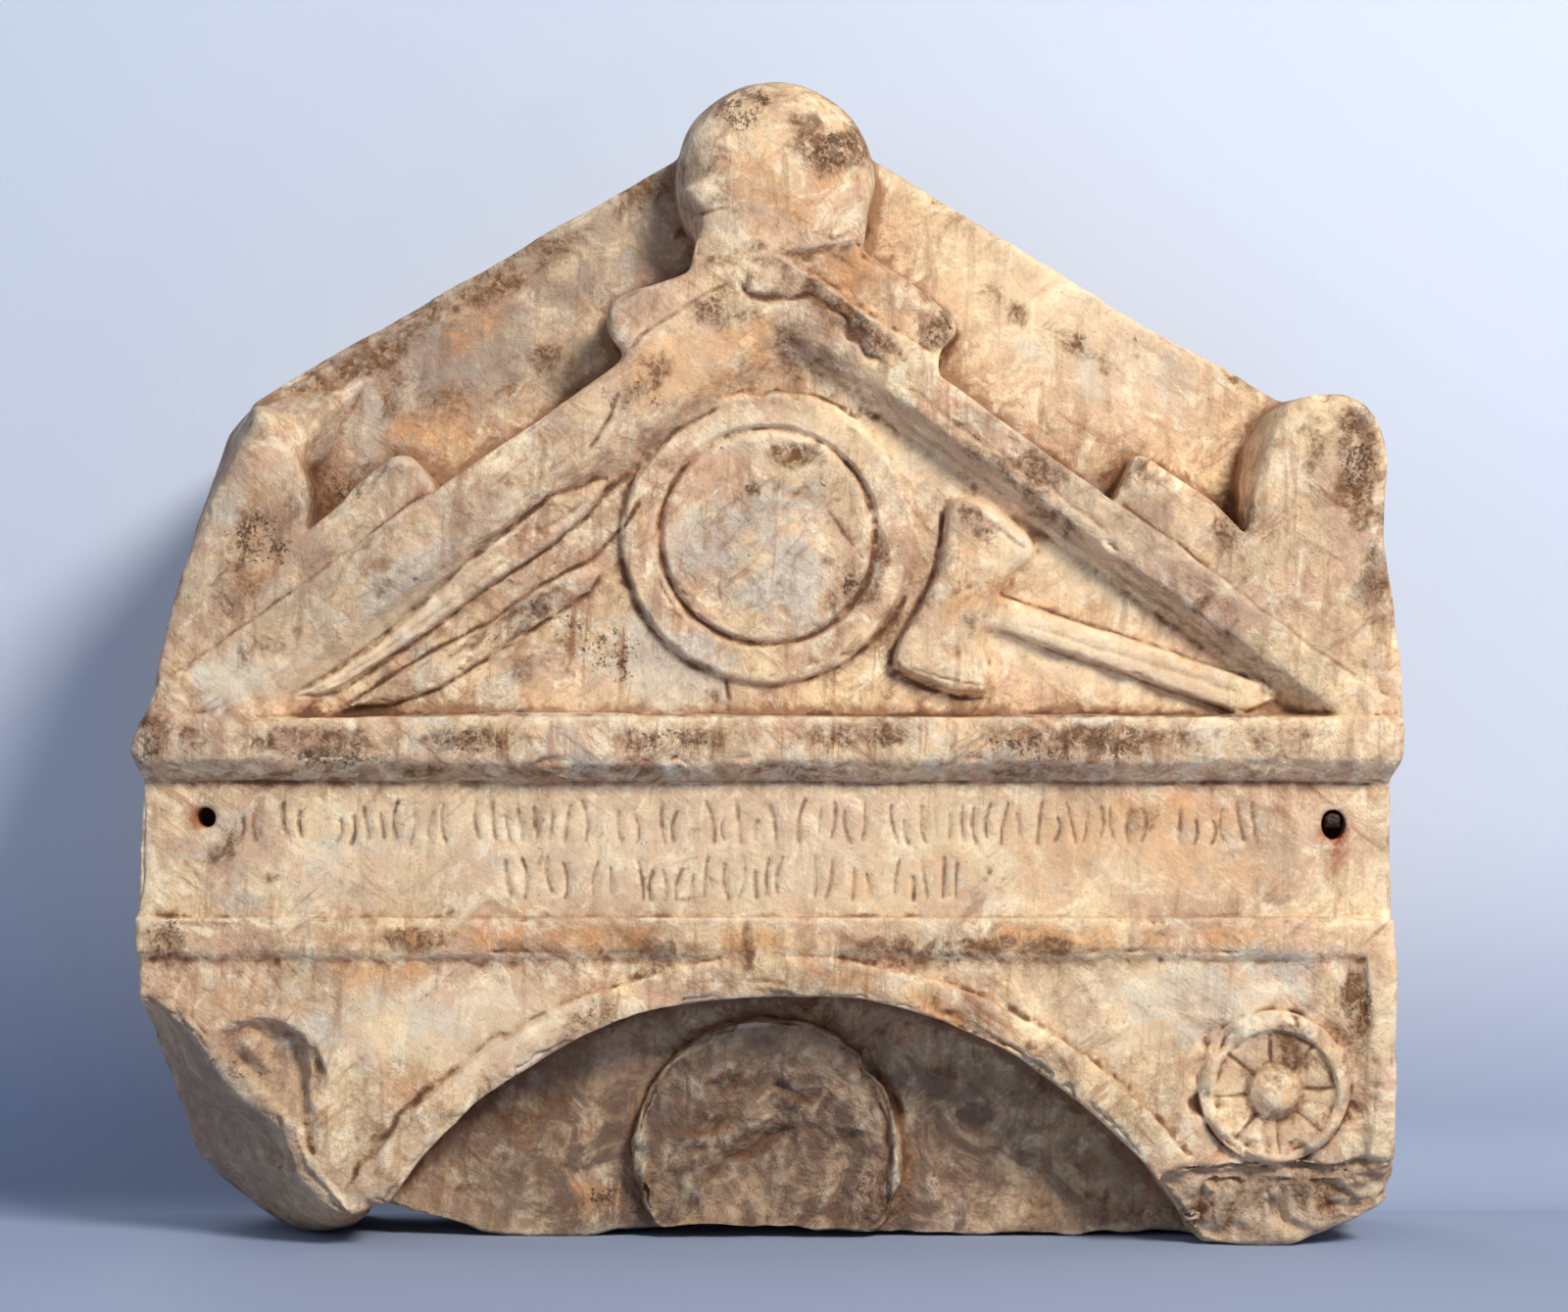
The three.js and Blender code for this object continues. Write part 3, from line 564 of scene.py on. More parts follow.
# Lines, cracks and hollows elsewhere: path, width, depth, wander and darkness, dirt and painted
# shade.
CREASES = (
    ([(-285, 144), (-120, 144), (40, 144), (285, 144)], 2, 0.3, 0.4, 0.2),
    ([(-300, 160.5), (0, 160.8), (298, 160.5)], 1.6, 0.2, 0.2, 0.5),
    ([(-300, 226), (0, 226), (298, 226)], 1.8, 0.2, 0.2, 0.6),
    ([(-9, 159), (-10.4, 148), (-8.8, 134)], 5, 0.8, 1.4, 0.35),
    ([(-70, 413.6), (-76, 400), (-85.4, 385.4)], 2, 1.2, 0.9, 0.9),
    ([(22, 490), (29, 487), (36, 488), (43, 493)], 2.0, 0.7, 1.4, 0.5),
    ([(31, 480), (36, 477), (42, 474)], 2.0, 0.7, 1.2, 0.4),
    ([(-44, 505), (-34, 500), (-25, 500), (-17, 501)], 3.4, 1.2, 1.2, 0.3),
    ([(-34, 497), (-31.5, 488), (-33, 478)], 6, 1.4, 1.2, 0.1),
    ([(-38, 129), (0, 130), (46, 121)], 1.8, 0.5, 1.3, 0.4),
    ([(76, 119), (98, 110), (118, 98)], 5, 1.6, 2.5, 0.5),
    ([(-17, 465), (-1, 461), (27, 459), (37, 449), (49, 433), (58, 427)], 5, 1.9, 2.4, 0.75),
    ([(-66, 434), (-61, 440), (-43, 452), (-29, 461), (-17, 466)], 2.2, 1.0, 0.5, 0.6),
    ([(2, 480), (16, 471), (32, 461), (51, 447)], 2.4, -0.9, 0.4, 0),
    ([(-290, 274), (-262, 294), (-238, 311), (-207, 333), (-180, 353), (-163, 367)],
     1.9, 0.9, 0.5, 0.5),
    ([(-290, 116), (-276, 104), (-266, 94)], 3, 1.2, 1.5, 0.3),
    ([(60, 420), (92, 399), (130, 372), (168, 346)], 3.4, 0.7, 1.6, 0.2),
    ([(128, 358), (146, 347), (160, 336)], 4, 1.4, 2.0, 0.3),
    ([(168, 362), (200, 339), (240, 308), (296, 268)], 1.9, 0.8, 0.6, 0.5),
    ([(-206, 22), (-196, 42), (-176, 66), (-140, 96), (-104, 116)], 5, 1.2, 1.6, 0.3),
)


def carve_mouldings(surface):
    lower_face(surface, ARM_FACE, 2.4, 3)
    lower_face(surface, PIER_STRIP, 4, 6, wander=2)
    cut_lines(surface, CREASES)


def sign_strokes(rng):
    """One sign of the weathered rows: two or three separate cuts that form no letter."""
    strokes = []
    for i in range(int(rng.integers(2, 4))):
        lean = rng.uniform(-0.26, 0.26)
        low = rng.uniform(0, 0.3) ** 1.5
        high = 1 - rng.uniform(0, 0.6) ** 1.5
        x = 0.14 + 0.34 * i + rng.uniform(-0.04, 0.04)
        bow = rng.uniform(-0.12, 0.12)
        strokes.append([
            (x + lean * (share - 0.5) * (high - low) + bow * math.sin(math.pi * share),
             low + (high - low) * share)
            for share in (0, 0.25, 0.5, 0.75, 1)
        ])
    return strokes


# The rows' ends and feet, and how many signs fill each.
ROWS = ((-256, 242, 194.5, 22), (-128, 105, 167.5, 11))
ROW_HEIGHT = 24


def carve_strokes(surface):
    """Two rows of shallow, weathered strokes on the frieze, where an inscription stood."""
    rng = np.random.default_rng(SEED + 50)
    for left, right, foot, signs in ROWS:
        pitch = (right - left) / signs
        for i in range(signs):
            shift = rng.uniform(-0.08, 0.08)
            for stroke in sign_strokes(rng):
                path = [
                    (left + pitch * (i + shift + 0.9 * u), foot + ROW_HEIGHT * v) for u, v in stroke
                ]
                deep = rng.uniform(0.9, 1.4)
                cut_groove(surface, path, 2.1, deep, fade=0.08, wander=0.15, dirt_and_shade=deep * 0.55)


def pit_front(surface):
    """Weathering pits of two sizes, thick in some places and absent in others."""
    front = np.flatnonzero(surface.facing_front() > 0.05)
    spots = surface.points[front]
    bent = warp(spots, 4, 1.1, 95)
    amount = np.zeros(surface.count, np.float32)
    for size, depth, seed in ((17, 0.6, 61), (8, 0.3, 64)):
        crowd = smoothstep(noise(spots, 33, seed), 0.1, 1.0)
        near = scoops(bent, size, seed + 1)
        amount[front] += depth * crowd * np.clip(1 - near / (0.04 + 0.14 * crowd), 0, 1)
    surface.sink(amount)


def hollow_share(surface, rounds):
    """How far each point lies in a hollow, or stands out on an edge, in millimetres."""
    near = surface.blur_points(rounds)
    return np.einsum("ij,ij->i", near - surface.points, surface.normals)


def box_blur(grid, radius):
    """The mean over a square of cells, taken three times over, which is nearly a soft round one."""
    width = 2 * radius + 1
    for _ in range(3):
        for axis in (0, 1):
            sides = [(0, 0), (0, 0)]
            sides[axis] = (radius + 1, radius)
            sums = np.cumsum(np.pad(grid, sides, mode="edge"), axis=axis)
            sums = np.moveaxis(sums, axis, 0)
            grid = np.moveaxis((sums[width:] - sums[:-width]) / width, 0, axis)
    return grid


def shelter_share(surface, reach):
    """How much deeper each point lies than the front around it, in millimetres."""
    cell = 1.5
    front = surface.normals[:, 1] < -0.15
    low = surface.points.min(axis=0) - 2 * cell
    column = ((surface.x - low[0]) / cell).astype(np.int32)
    row = ((surface.z - low[2]) / cell).astype(np.int32)
    shape = (row.max() + 3, column.max() + 3)
    filled = np.zeros(shape, np.float64)
    total = np.zeros(shape, np.float64)
    np.add.at(filled, (row[front], column[front]), 1)
    np.add.at(total, (row[front], column[front]), surface.depth[front])
    seen = filled > 0
    level = np.where(seen, total / np.maximum(filled, 1), 0)
    radius = max(1, round(reach / cell / 3))
    around = box_blur(level, radius) / np.maximum(box_blur(seen * 1.0, radius), 1e-3)
    return (surface.depth - around[row, column]) * (surface.normals[:, 1] < 0.5)


# Weathering on the front, with some painted shade and light among it: x, z, half width, half height,
# and the tilt and strength if not 0 and 1.
# Brown patina; the row at (258, 96) also paints the shade in the rosette's upper right petals, and
# the row at (0, 231) the shade under the cornice.
BROWN_PLACES = (
    (-190, 440, 64, 13, 30), (-120, 478, 44, 12, 31, 0.9), (-60, 515, 30, 12, 31, 0.8),
    (-165, 415, 30, 18, 10, 0.6), (-195, 372, 26, 12, 20, 0.7), (-130, 425, 40, 14, 35, 0.5),
    (34, 530, 15, 26, -60), (18, 536, 12, 16), (-14, 556, 24, 9, 10, 0.7),
    (-28, 520, 12, 18, 0, 0.6), (-22, 505, 14, 8, 0, 0.8), (38, 450, 44, 9, -38),
    (80, 444, 12, 14, -30, 0.9), (-20, 459, 26, 9, 35, 0.8), (-60, 420, 20, 12, 35, 0.8),
    (135, 378, 16, 12), (172, 374, 16, 12, 0, 0.9), (285, 382, 14, 40), (262, 390, 12, 20, 0, 0.6),
    (292, 320, 10, 30, 0, 0.8), (150, 440, 70, 8, -31, 0.6), (235, 425, 30, 9, -30, 0.8),
    (160, 247, 60, 9), (250, 247, 40, 9, 0, 0.7), (40, 249, 34, 8), (-45, 247, 40, 9, 0, 0.9),
    (-140, 247, 34, 9, 0, 0.9), (-215, 246, 44, 9, 0, 0.9), (-290, 250, 22, 14, 0, 0.7),
    (92, 326, 12, 14, 0, 0.8), (-120, 305, 34, 9, 33, 0.9), (14, 384, 20, 8),
    (-6, 368, 6, 6, 0, 0.9), (45, 325, 14, 34, -30, 0.8), (60, 300, 10, 16, -40, 0.8),
    (-52, 372, 14, 12, 50, 0.6), (-170, 150, 26, 8), (-120, 147, 20, 6, 0, 0.7),
    (-60, 145, 60, 6, 0, 0.6), (100, 146, 80, 7, 0, 0.8), (-9, 145, 5, 16),
    (-288, 150, 16, 18, 0, 0.8), (285, 110, 12, 30, 0, 0.9), (140, 80, 14, 34, 40, 0.7),
    (-90, 105, 34, 12, 30, 0.7), (-160, 60, 30, 12, 42, 0.6), (250, 25, 50, 14, 0, 0.8),
    (-180, 40, 12, 30, -30, 0.5), (-70, 20, 30, 12, 0, 0.8), (150, 10, 60, 14, 0, 0.6),
    (60, 20, 40, 14, 0, 0.6), (-1, 60, 50, 40, 0, 0.5), (180, 208, 30, 10, 0, 0.7),
    (-40, 176, 30, 12, 0, 0.4), (-250, 190, 24, 20, 0, 0.6), (-120, 200, 20, 24, 0, 0.5),
    (110, 178, 20, 12, 0, 0.6), (-150, 345, 70, 8, 37, 0.5), (-230, 300, 40, 10, 35, 0.6),
    (130, 365, 60, 10, -37, 0.6), (220, 305, 50, 10, -37, 0.6), (-250, 330, 16, 40, -15, 0.6),
    (0, 270, 60, 8, 0, 0.4), (170, 120, 24, 16, 0, 0.4), (258, 96, 18, 14, -40, 0.9),
    (-115, 282, 30, 10, 20, 0.6), (225, 16, 30, 12, -20), (278, 22, 20, 12, 0, 0.9),
    (100, 352, 18, 10, -30, 0.8), (20, 434, 26, 14, -30, 0.7), (-15, 452, 30, 8, 20, 0.7),
    (300, 352, 8, 24, 0, 0.9), (246, 78, 32, 32, 0, 0.5), (-130, 40, 40, 30, 0, 0.5),
    (150, 50, 30, 30, 0, 0.4), (226, 352, 12, 22, 0, 0.9), (-222, 365, 14, 20, 20, 0.8),
    (-118, 425, 34, 10, 36, 0.7), (0, 231, 330, 7, 0, 0.55), (96, 318, 26, 46, -20, 0.45),
    (8, 484, 40, 26, 0, 0.5), (-130, 62, 44, 30, 30, 0.7), (60, 95, 60, 16, -20, 0.7),
)
# Where dark dotted dirt gathers.
DOTTED_PLACES = (
    (143, 242, 58, 9), (-206, 238, 34, 7), (-139, 246, 24, 8), (-40, 246, 34, 8, 0, 0.9),
    (37, 246, 26, 7), (34, 530, 12, 20, -60), (-12, 550, 20, 14, 20), (284, 384, 12, 26),
    (-215, 366, 12, 14), (-243, 343, 18, 18), (135, 376, 14, 8, 0, 0.9), (-118, 306, 26, 7, 33),
    (-252, 86, 14, 10), (30, 372, 8, 6), (-6, 368, 6, 5), (44, 322, 8, 12, 0, 0.9),
    (-290, 150, 12, 16, 0, 0.9), (60, 20, 50, 16, 0, 0.8), (-70, 18, 30, 10),
    (190, 12, 20, 8, 0, 0.8), (285, 120, 10, 16, 0, 0.9), (-60, 412, 20, 10), (44, 446, 20, 8, -40),
    (84, 440, 8, 10), (-78, 288, 34, 18, -20, 0.8), (-20, 340, 20, 30, 0, 0.5), (-300, 245, 16, 14),
    (-180, 120, 60, 16, 0, 0.35), (-60, 196, 24, 28, 0, 0.35), (150, 425, 60, 24, -31, 0.3),
    (-85, 108, 18, 14, 30, 0.9), (-250, 205, 20, 18, 0, 0.5),
)
OCHRE_PLACES = (
    (170, 195, 110, 34, 0, 0.8), (90, 178, 70, 16, 0, 0.7), (-60, 150, 200, 9, 0, 0.7),
    (150, 150, 130, 9, 0, 0.7), (70, 118, 80, 12, -20, 0.7), (-30, 428, 54, 20, 20, 0.9),
    (-245, 92, 12, 14), (246, 78, 40, 40, 0, 0.4), (160, 300, 60, 20, -35, 0.4),
    (-85, 18, 20, 10, 0, 0.9), (-160, 400, 50, 20, 30, 0.6), (10, 515, 44, 36, 0, 0.7),
    (-180, 190, 120, 24, 0, 0.3), (-255, 110, 34, 20, 0, 0.4), (-243, 343, 22, 34, -15, 0.9),
    (40, 460, 50, 24, -35, 0.7), (-150, 448, 40, 14, 30, 0.8), (100, 315, 24, 50, 0, 0.4),
    (-200, 10, 22, 10, 20), (-190, 130, 40, 14, 0, 0.5), (-170, 70, 40, 20, 40, 0.4),
)
GREY_PLACES = (
    (-60, 285, 60, 26, -20, 0.9), (0, 340, 44, 44, 0, 0.8), (170, 430, 60, 40, -30, 0.5),
    (-250, 350, 26, 60, 15, 0.5), (-230, 190, 60, 40, 0, 0.5), (230, 120, 60, 30, 0, 0.7),
    (-200, 110, 70, 30, 0, 0.5), (60, 250, 200, 12, 0, 0.4), (-180, 320, 90, 10, 36, 0.7),
    (90, 175, 40, 12, 0, 0.6), (-60, 200, 60, 14, 0, 0.3), (290, 300, 10, 60, 0, 0.5),
    (-150, 260, 60, 8, 0, 0.6), (140, 330, 30, 14, -35, 0.5), (-260, 280, 24, 30, 0, 0.5),
    (-120, 290, 120, 36, 10, 0.5), (-160, 420, 120, 50, 30, 0.5), (0, 240, 300, 20, 0, 0.4),
)
RUST_PLACES = (
    (274.5, 201, 9, 11), (275, 190, 6, 9, 0, 0.9), (-276, 208, 5, 8, 0, 0.8),
    (-233, 103, 3, 3, 0, 0.9),
)
# Where the stone is smooth, pale and clean, and where painted light brightens the field against the
# raking cornice's shadow.
CLEAN_AND_LIT_PLACES = (
    (0, 193, 310, 36, 0, 0.75), (160, 286, 84, 20, -15), (70, 385, 30, 18, -40, 0.7),
    (150, 445, 90, 40, -30, 0.7), (-180, 300, 70, 11, 38, 0.9), (-150, 110, 70, 26, 0, 0.85),
    (195, 118, 70, 24, 0, 0.6), (95, 315, 34, 50, 0, 0.2), (-235, 278, 40, 16, 0, 0.8),
    (5, 500, 40, 44, 0, 0.2), (-60, 272, 70, 14, 0, 0.5), (-50, 425, 50, 20, 36, 0.6),
    (0, 395, 60, 16, 0, 0.5), (246, 78, 40, 40, 0, 0.3), (128, 345, 60, 30, -37, 0.7),
    (250, 14, 44, 12, 0, 0.5),
)
# The ashen skin of the old break and of the left edge, with painted shade on the shaded lobe, the
# left side and roof, and under the raking cornices.
ASHEN_AND_SHADE_PLACES = (
    (-262, 60, 60, 70, -40), (-258, 388, 18, 28, -20, 0.8), (-300, 246, 20, 20, 0, 0.7),
    (-285, 330, 12, 60, -12, 0.6), (-120, 466, 130, 50, 31), (-230, 350, 90, 50, 30, 0.6),
    (-210, 405, 30, 14, 31, 0.5), (190, 345, 120, 18, -37, 0.6), (-160, 340, 110, 16, 37, 0.5),
    (262, 352, 40, 50, 0, 0.25), (0, 345, 74, 74, 0, 0.2),
)
# Grime in the niche, with painted shade under the arch.
GRIME_AND_SHADE_PLACES = (
    (7, 30, 205, 92),
)
STAINS = {
    "brown": BROWN_PLACES, "dotted": DOTTED_PLACES, "ochre": OCHRE_PLACES, "grey": GREY_PLACES,
    "rust": RUST_PLACES,
}


def painted(surface, places):
    """The strongest of the named places at each point."""
    total = np.zeros(surface.count, np.float32)
    for place in places:
        total = np.maximum(total, patch(surface, *place))
    return total * (surface.normals[:, 1] < 0.3)


# ---- Making the pieces ----

def evaluated_mesh(piece):
    """The mesh with its modifiers applied."""
    graph = bpy.context.evaluated_depsgraph_get()
    shaped = piece.evaluated_get(graph)
    return bpy.data.meshes.new_from_object(shaped, preserve_all_data_layers=True, depsgraph=graph)


def apply_modifier(piece, kind, **settings):
    modifier = piece.modifiers.new(kind.lower(), kind)
    for name, value in settings.items():
        setattr(modifier, name, value)
    made = evaluated_mesh(piece)
    piece.modifiers.clear()
    old = piece.data
    piece.data = made
    bpy.data.meshes.remove(old)


def dense_copy(node, name, voxel):
    """A finely and evenly meshed copy of a CAD piece."""
    piece = bpy.data.objects.new(name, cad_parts[node].data.copy())
    bpy.context.scene.collection.objects.link(piece)
    apply_modifier(piece, "REMESH", mode="VOXEL", voxel_size=voxel * MM)
    return piece


def thin_out(piece, triangles):
    current = sum(len(face.vertices) - 2 for face in piece.data.polygons)
    if current > triangles:
        apply_modifier(piece, "DECIMATE", ratio=triangles / current, use_collapse_triangulate=True)


def finish_piece(piece, node, material):
    piece.data.name = piece.name
    piece.data.materials.clear()
    piece.data.materials.append(material)
    piece.data.shade_smooth()
    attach(piece, "root")
    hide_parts(node)


def carve_block(surface):
    """Wears, chips, breaks and carves the block, and gives the share of broken stone."""
    wear_arrises(surface)
    broken = broken_share(surface)
    weather_faces(surface)
    chip_edges(surface)
    roughen_breaks(surface, broken)
    carve_head_scar(surface)
    carve_left_scar(surface)
    carve_mouldings(surface)
    carve_shield(surface)
    cut_lines(surface, TOOL_LINES)
    carve_rosette(surface)
    carve_strokes(surface)
    pit_front(surface)
    at_foot = 1 - smoothstep(surface.z, 5, 12)
    at_corner = smoothstep(surface.x, 288, 298) * (1 - smoothstep(surface.z, 30, 50))
    surface.soften(np.maximum(at_foot, at_corner) * 0.9, 8)
    return broken


def mark_block(surface, broken):
    """Stores what the marble reads at each point: its hollows, edges, breaks and stains, and where
    painted shade and light go.
    """
    wide = hollow_share(surface, 14)
    fine = hollow_share(surface, 3)
    calm = 1 - 0.6 * broken
    hollow = (np.clip(wide / 1.5, 0, 1) * 0.7 + np.clip(fine / 0.22, 0, 1) * 0.6) * calm
    shelter = np.clip(shelter_share(surface, 9) / 6, 0, 1) * 0.65
    shelter += np.clip(shelter_share(surface, 30) / 30, 0, 1) * 0.35
    behind = smoothstep(surface.normals[:, 1], 0.3, 0.7)
    on_break = inside(surface, CORNER_BREAK) | (surface.z > EAVES)
    in_niche = (surface.depth > NICHE_DEPTH - 16) & (surface.z < 130)
    values = {
        "hollow": surface.blur(np.clip(hollow, 0, 1), 1),
        "shelter": surface.blur(shelter, 1),
        "edge": surface.blur(np.clip(-wide / 1.4, 0, 1), 1),
        "broken": surface.blur(broken, 2),
        # The back is made paler all over, partly as painted light on its dimly lit side.
        "clean_and_lit": np.maximum(painted(surface, CLEAN_AND_LIT_PLACES), 0.8 * behind),
        "lines": np.clip(surface.lines, 0, 1) * (1 - behind),
        "ashen_and_shade": surface.blur(painted(surface, ASHEN_AND_SHADE_PLACES) * on_break, 4),
        "grime_and_shade": surface.blur(painted(surface, GRIME_AND_SHADE_PLACES) * in_niche, 3),
    }
    values.update({name: painted(surface, places) for name, places in STAINS.items()})
    for name, share in values.items():
        attribute = surface.mesh.attributes.new(name, "FLOAT", "POINT")
        attribute.data.foreach_set("value", np.asarray(share, np.float32))


def make_block(material):
    piece = dense_copy("stele", "stele_marble", BLOCK_VOXEL)
    surface = Surface(piece.data)
    mark_block(surface, carve_block(surface))
    thin_out(piece, BLOCK_TRIANGLES)
    finish_piece(piece, "stele", material)


def make_pin(material):
    """The stub is swollen and flaky with rust."""
    piece = dense_copy("iron_pin", "pin_iron", PIN_VOXEL)
    surface = Surface(piece.data)
    surface.points = surface.blur_points(3)
    surface.refresh()
    amount = 0.3 * layered_noise(surface.points, 2.4, 80) - 0.25
    surface.push(np.minimum(amount, 0.05))
    surface.refresh()
    thin_out(piece, PIN_TRIANGLES)
    finish_piece(piece, "iron_pin", material)


# ---- Colours ----

def rgb(red, green, blue):
    """A colour given as 0 to 255 screen values, as the linear values a shader takes."""
    linear = []
    for value in (red, green, blue):
        share = value / 255
        linear.append(share / 12.92 if share <= 0.04045 else ((share + 0.055) / 1.055) ** 2.4)
    return (*linear, 1.0)


CREAM = rgb(232, 201, 158)
PINKISH = rgb(210, 170, 138)
PALE = rgb(248, 226, 190)
COOL_WHITE = rgb(206, 203, 190)
OCHRE = rgb(216, 152, 92)
RUN_BROWN = rgb(168, 124, 88)
SMEAR_BROWN = rgb(158, 108, 70)
WASH_AND_SHADE_BROWN = rgb(150, 106, 74)
FRESH_BREAK = rgb(180, 148, 124)
GRIME_AND_SHADE = rgb(108, 84, 69)
ASHEN_AND_SHADE = rgb(152, 130, 114)
PATINA = rgb(116, 76, 44)
DARK_SPECK = rgb(74, 50, 32)
MOSS = rgb(116, 108, 72)
STAIN_AND_SHADE = rgb(160, 110, 72)
CREVICE_SHADE_AND_DIRT = rgb(86, 56, 38)
LINE_BROWN = rgb(104, 70, 48)
BARE_EDGE = rgb(248, 232, 208)
RUST = rgb(150, 72, 28)
BLACK_IRON = rgb(40, 32, 28)
IRON_RUST = rgb(108, 58, 32)
# The floor is darker than the wall, a painted shade.
STUDIO_FLOOR_SHADE = rgb(152, 165, 193)
STUDIO_WALL = rgb(205, 214, 231)
PALE_HEIGHT = 0.22               # metres above the floor where the wall has its full paleness


# ---- Node helpers ----

def fill(tree, node, inputs):
    """Sets a node's inputs, given by name or number, or links them where a socket is given."""
    for name, value in inputs.items():
        if isinstance(value, bpy.types.NodeSocket):
            tree.links.new(value, node.inputs[name])
        else:
            node.inputs[name].default_value = value


def add(tree, kind, inputs=None, **settings):
    """A node with its settings and inputs."""
    node = tree.nodes.new(kind)
    for name, value in settings.items():
        setattr(node, name, value)
    fill(tree, node, inputs or {})
    return node


def maths(tree, operation, first, second=0.0, clamp=False):
    inputs = {0: first, 1: second}
    return add(tree, "ShaderNodeMath", inputs, operation=operation, use_clamp=clamp).outputs[0]


def times(tree, first, second, clamp=False):
    return maths(tree, "MULTIPLY", first, second, clamp)


def plus(tree, first, second):
    return maths(tree, "ADD", first, second)


def mix(tree, share, first, second, blend="MIX"):
    inputs = {0: share, 6: first, 7: second}
    node = add(tree, "ShaderNodeMix", inputs, data_type="RGBA", blend_type=blend, clamp_factor=True)
    return node.outputs[2]


def coat(tree, colour, share, over, strength):
    """The colour with another over it, as far as a share times a strength says."""
    return mix(tree, times(tree, share, strength), colour, over)


def fit(tree, value, low, high, to_low=0.0, to_high=1.0):
    """The value's place between low and high, eased, and carried to a new range."""
    inputs = {"Value": value, "From Min": low, "From Max": high, "To Min": to_low, "To Max": to_high}
    return add(tree, "ShaderNodeMapRange", inputs, interpolation_type="SMOOTHSTEP").outputs[0]


def grain(tree, place, size, detail=4.0, roughness=0.55, distortion=0.0):
    """Noise whose features are about size millimetres across, where size may be a socket."""
    linked = isinstance(size, bpy.types.NodeSocket)
    scale = maths(tree, "DIVIDE", 1 / MM, size) if linked else 1 / (size * MM)
    inputs = {
        "Vector": place, "Scale": scale, "Detail": detail, "Roughness": roughness,
        "Distortion": distortion,
    }
    return add(tree, "ShaderNodeTexNoise", inputs).outputs[0]


def point_value(tree, name):
    return add(tree, "ShaderNodeAttribute", attribute_name=name).outputs["Fac"]


def stretched(tree, place, tilt, length):
    """The place squeezed so that noise on it draws out along a tilted line on the front."""
    return add(tree, "ShaderNodeMapping", {
        "Vector": place, "Rotation": (0, math.radians(tilt), 0), "Scale": (1, 1, length),
    }, vector_type="TEXTURE").outputs[0]


def new_group(name, numbers, results, kind="NodeSocketFloat"):
    """A node group that takes a place and named numbers: its tree, its inputs and its output."""
    tree = bpy.data.node_groups.new(name, "ShaderNodeTree")
    tree.interface.new_socket("Vector", in_out="INPUT", socket_type="NodeSocketVector")
    for label, value in numbers.items():
        socket = tree.interface.new_socket(label, in_out="INPUT", socket_type="NodeSocketFloat")
        socket.default_value = value
    for label in results:
        tree.interface.new_socket(label, in_out="OUTPUT", socket_type=kind)
    entry = tree.nodes.new("NodeGroupInput")
    return tree, entry.outputs, tree.nodes.new("NodeGroupOutput")


def use_group(tree, group, inputs):
    return add(tree, "ShaderNodeGroup", inputs, node_tree=group).outputs


# ---- Shared effects ----

def make_blotches():
    """Patches with ragged edges that gather where the weight is high."""
    tree, given, result = new_group(
        "ragged_blotches", {"Weight": 0.0, "Size mm": 20.0, "Softness": 0.1}, ("Mask", "Speckle"))
    broad = grain(tree, given["Vector"], given["Size mm"], 8.0, 0.68, 0.6)
    level = plus(tree, broad, times(tree, given["Weight"], 0.27))
    mask = fit(tree, level, 0.6, plus(tree, given["Softness"], 0.6))
    fine = grain(tree, given["Vector"], 1.7, 3.0, 0.68)
    spots = plus(tree, times(tree, level, 0.7), times(tree, fine, 0.6))
    fill(tree, result, {"Mask": mask, "Speckle": fit(tree, spots, 0.84, 0.9)})
    return tree


def make_mottle():
    """Soft light and dark mottling at three sizes, about 1 on the average."""
    tree, given, result = new_group("soft_mottling", {"Amount": 0.2}, ["Shade"], "NodeSocketColor")
    parts = (
        (grain(tree, given["Vector"], 34, 5.0, 0.6, 0.8), 0.45),
        (grain(tree, given["Vector"], 9, 5.0, 0.65, 1.2), 0.35),
        (grain(tree, given["Vector"], 2, 4.0, 0.7), 0.2),
    )
    total = 0.0
    for value, share in parts:
        total = plus(tree, times(tree, value, share), total)
    shade = plus(tree, times(tree, maths(tree, "SUBTRACT", total, 0.5), given["Amount"]), 1.0)
    grey = add(tree, "ShaderNodeCombineColor", {0: shade, 1: shade, 2: shade}).outputs[0]
    fill(tree, result, {"Shade": grey})
    return tree


def make_drag_marks():
    """Fine marks dragged upright and along both slopes of the gable, about 0.5 on the average."""
    tree, given, result = new_group("drag_marks", {"Size mm": 8.0}, ("Upright", "Slanting"))
    upright, rising, falling = (
        grain(tree, stretched(tree, given["Vector"], tilt, length), given["Size mm"], 5.0, 0.66, 0.5)
        for tilt, length in ((3, 8), (52, 5), (-52, 5))
    )
    side = fit(tree, grain(tree, given["Vector"], 60, 2.0), 0.42, 0.58)
    slanting = add(tree, "ShaderNodeMix", {0: side, 2: rising, 3: falling}, data_type="FLOAT")
    fill(tree, result, {"Upright": upright, "Slanting": slanting.outputs[0]})
    return tree


def make_surface_grain():
    """The height of a crystalline or corroded surface, in millimetres."""
    tree, given, result = new_group(
        "surface_grain", {"Fine mm": 0.06, "Coarse mm": 0.2}, ["Height"])
    fine = times(tree, grain(tree, given["Vector"], 0.9, 3.0, 0.7), given["Fine mm"])
    coarse = times(tree, grain(tree, given["Vector"], 6, 6.0, 0.66, 0.9), given["Coarse mm"])
    fill(tree, result, {"Height": plus(tree, fine, coarse)})
    return tree


# ---- Materials ----

def new_material(name):
    material = bpy.data.materials.new(name)
    material.use_nodes = True
    tree = material.node_tree
    tree.nodes.clear()
    shader = add(tree, "ShaderNodeBsdfPrincipled")
    add(tree, "ShaderNodeOutputMaterial", {"Surface": shader.outputs[0]})
    return material, tree, shader


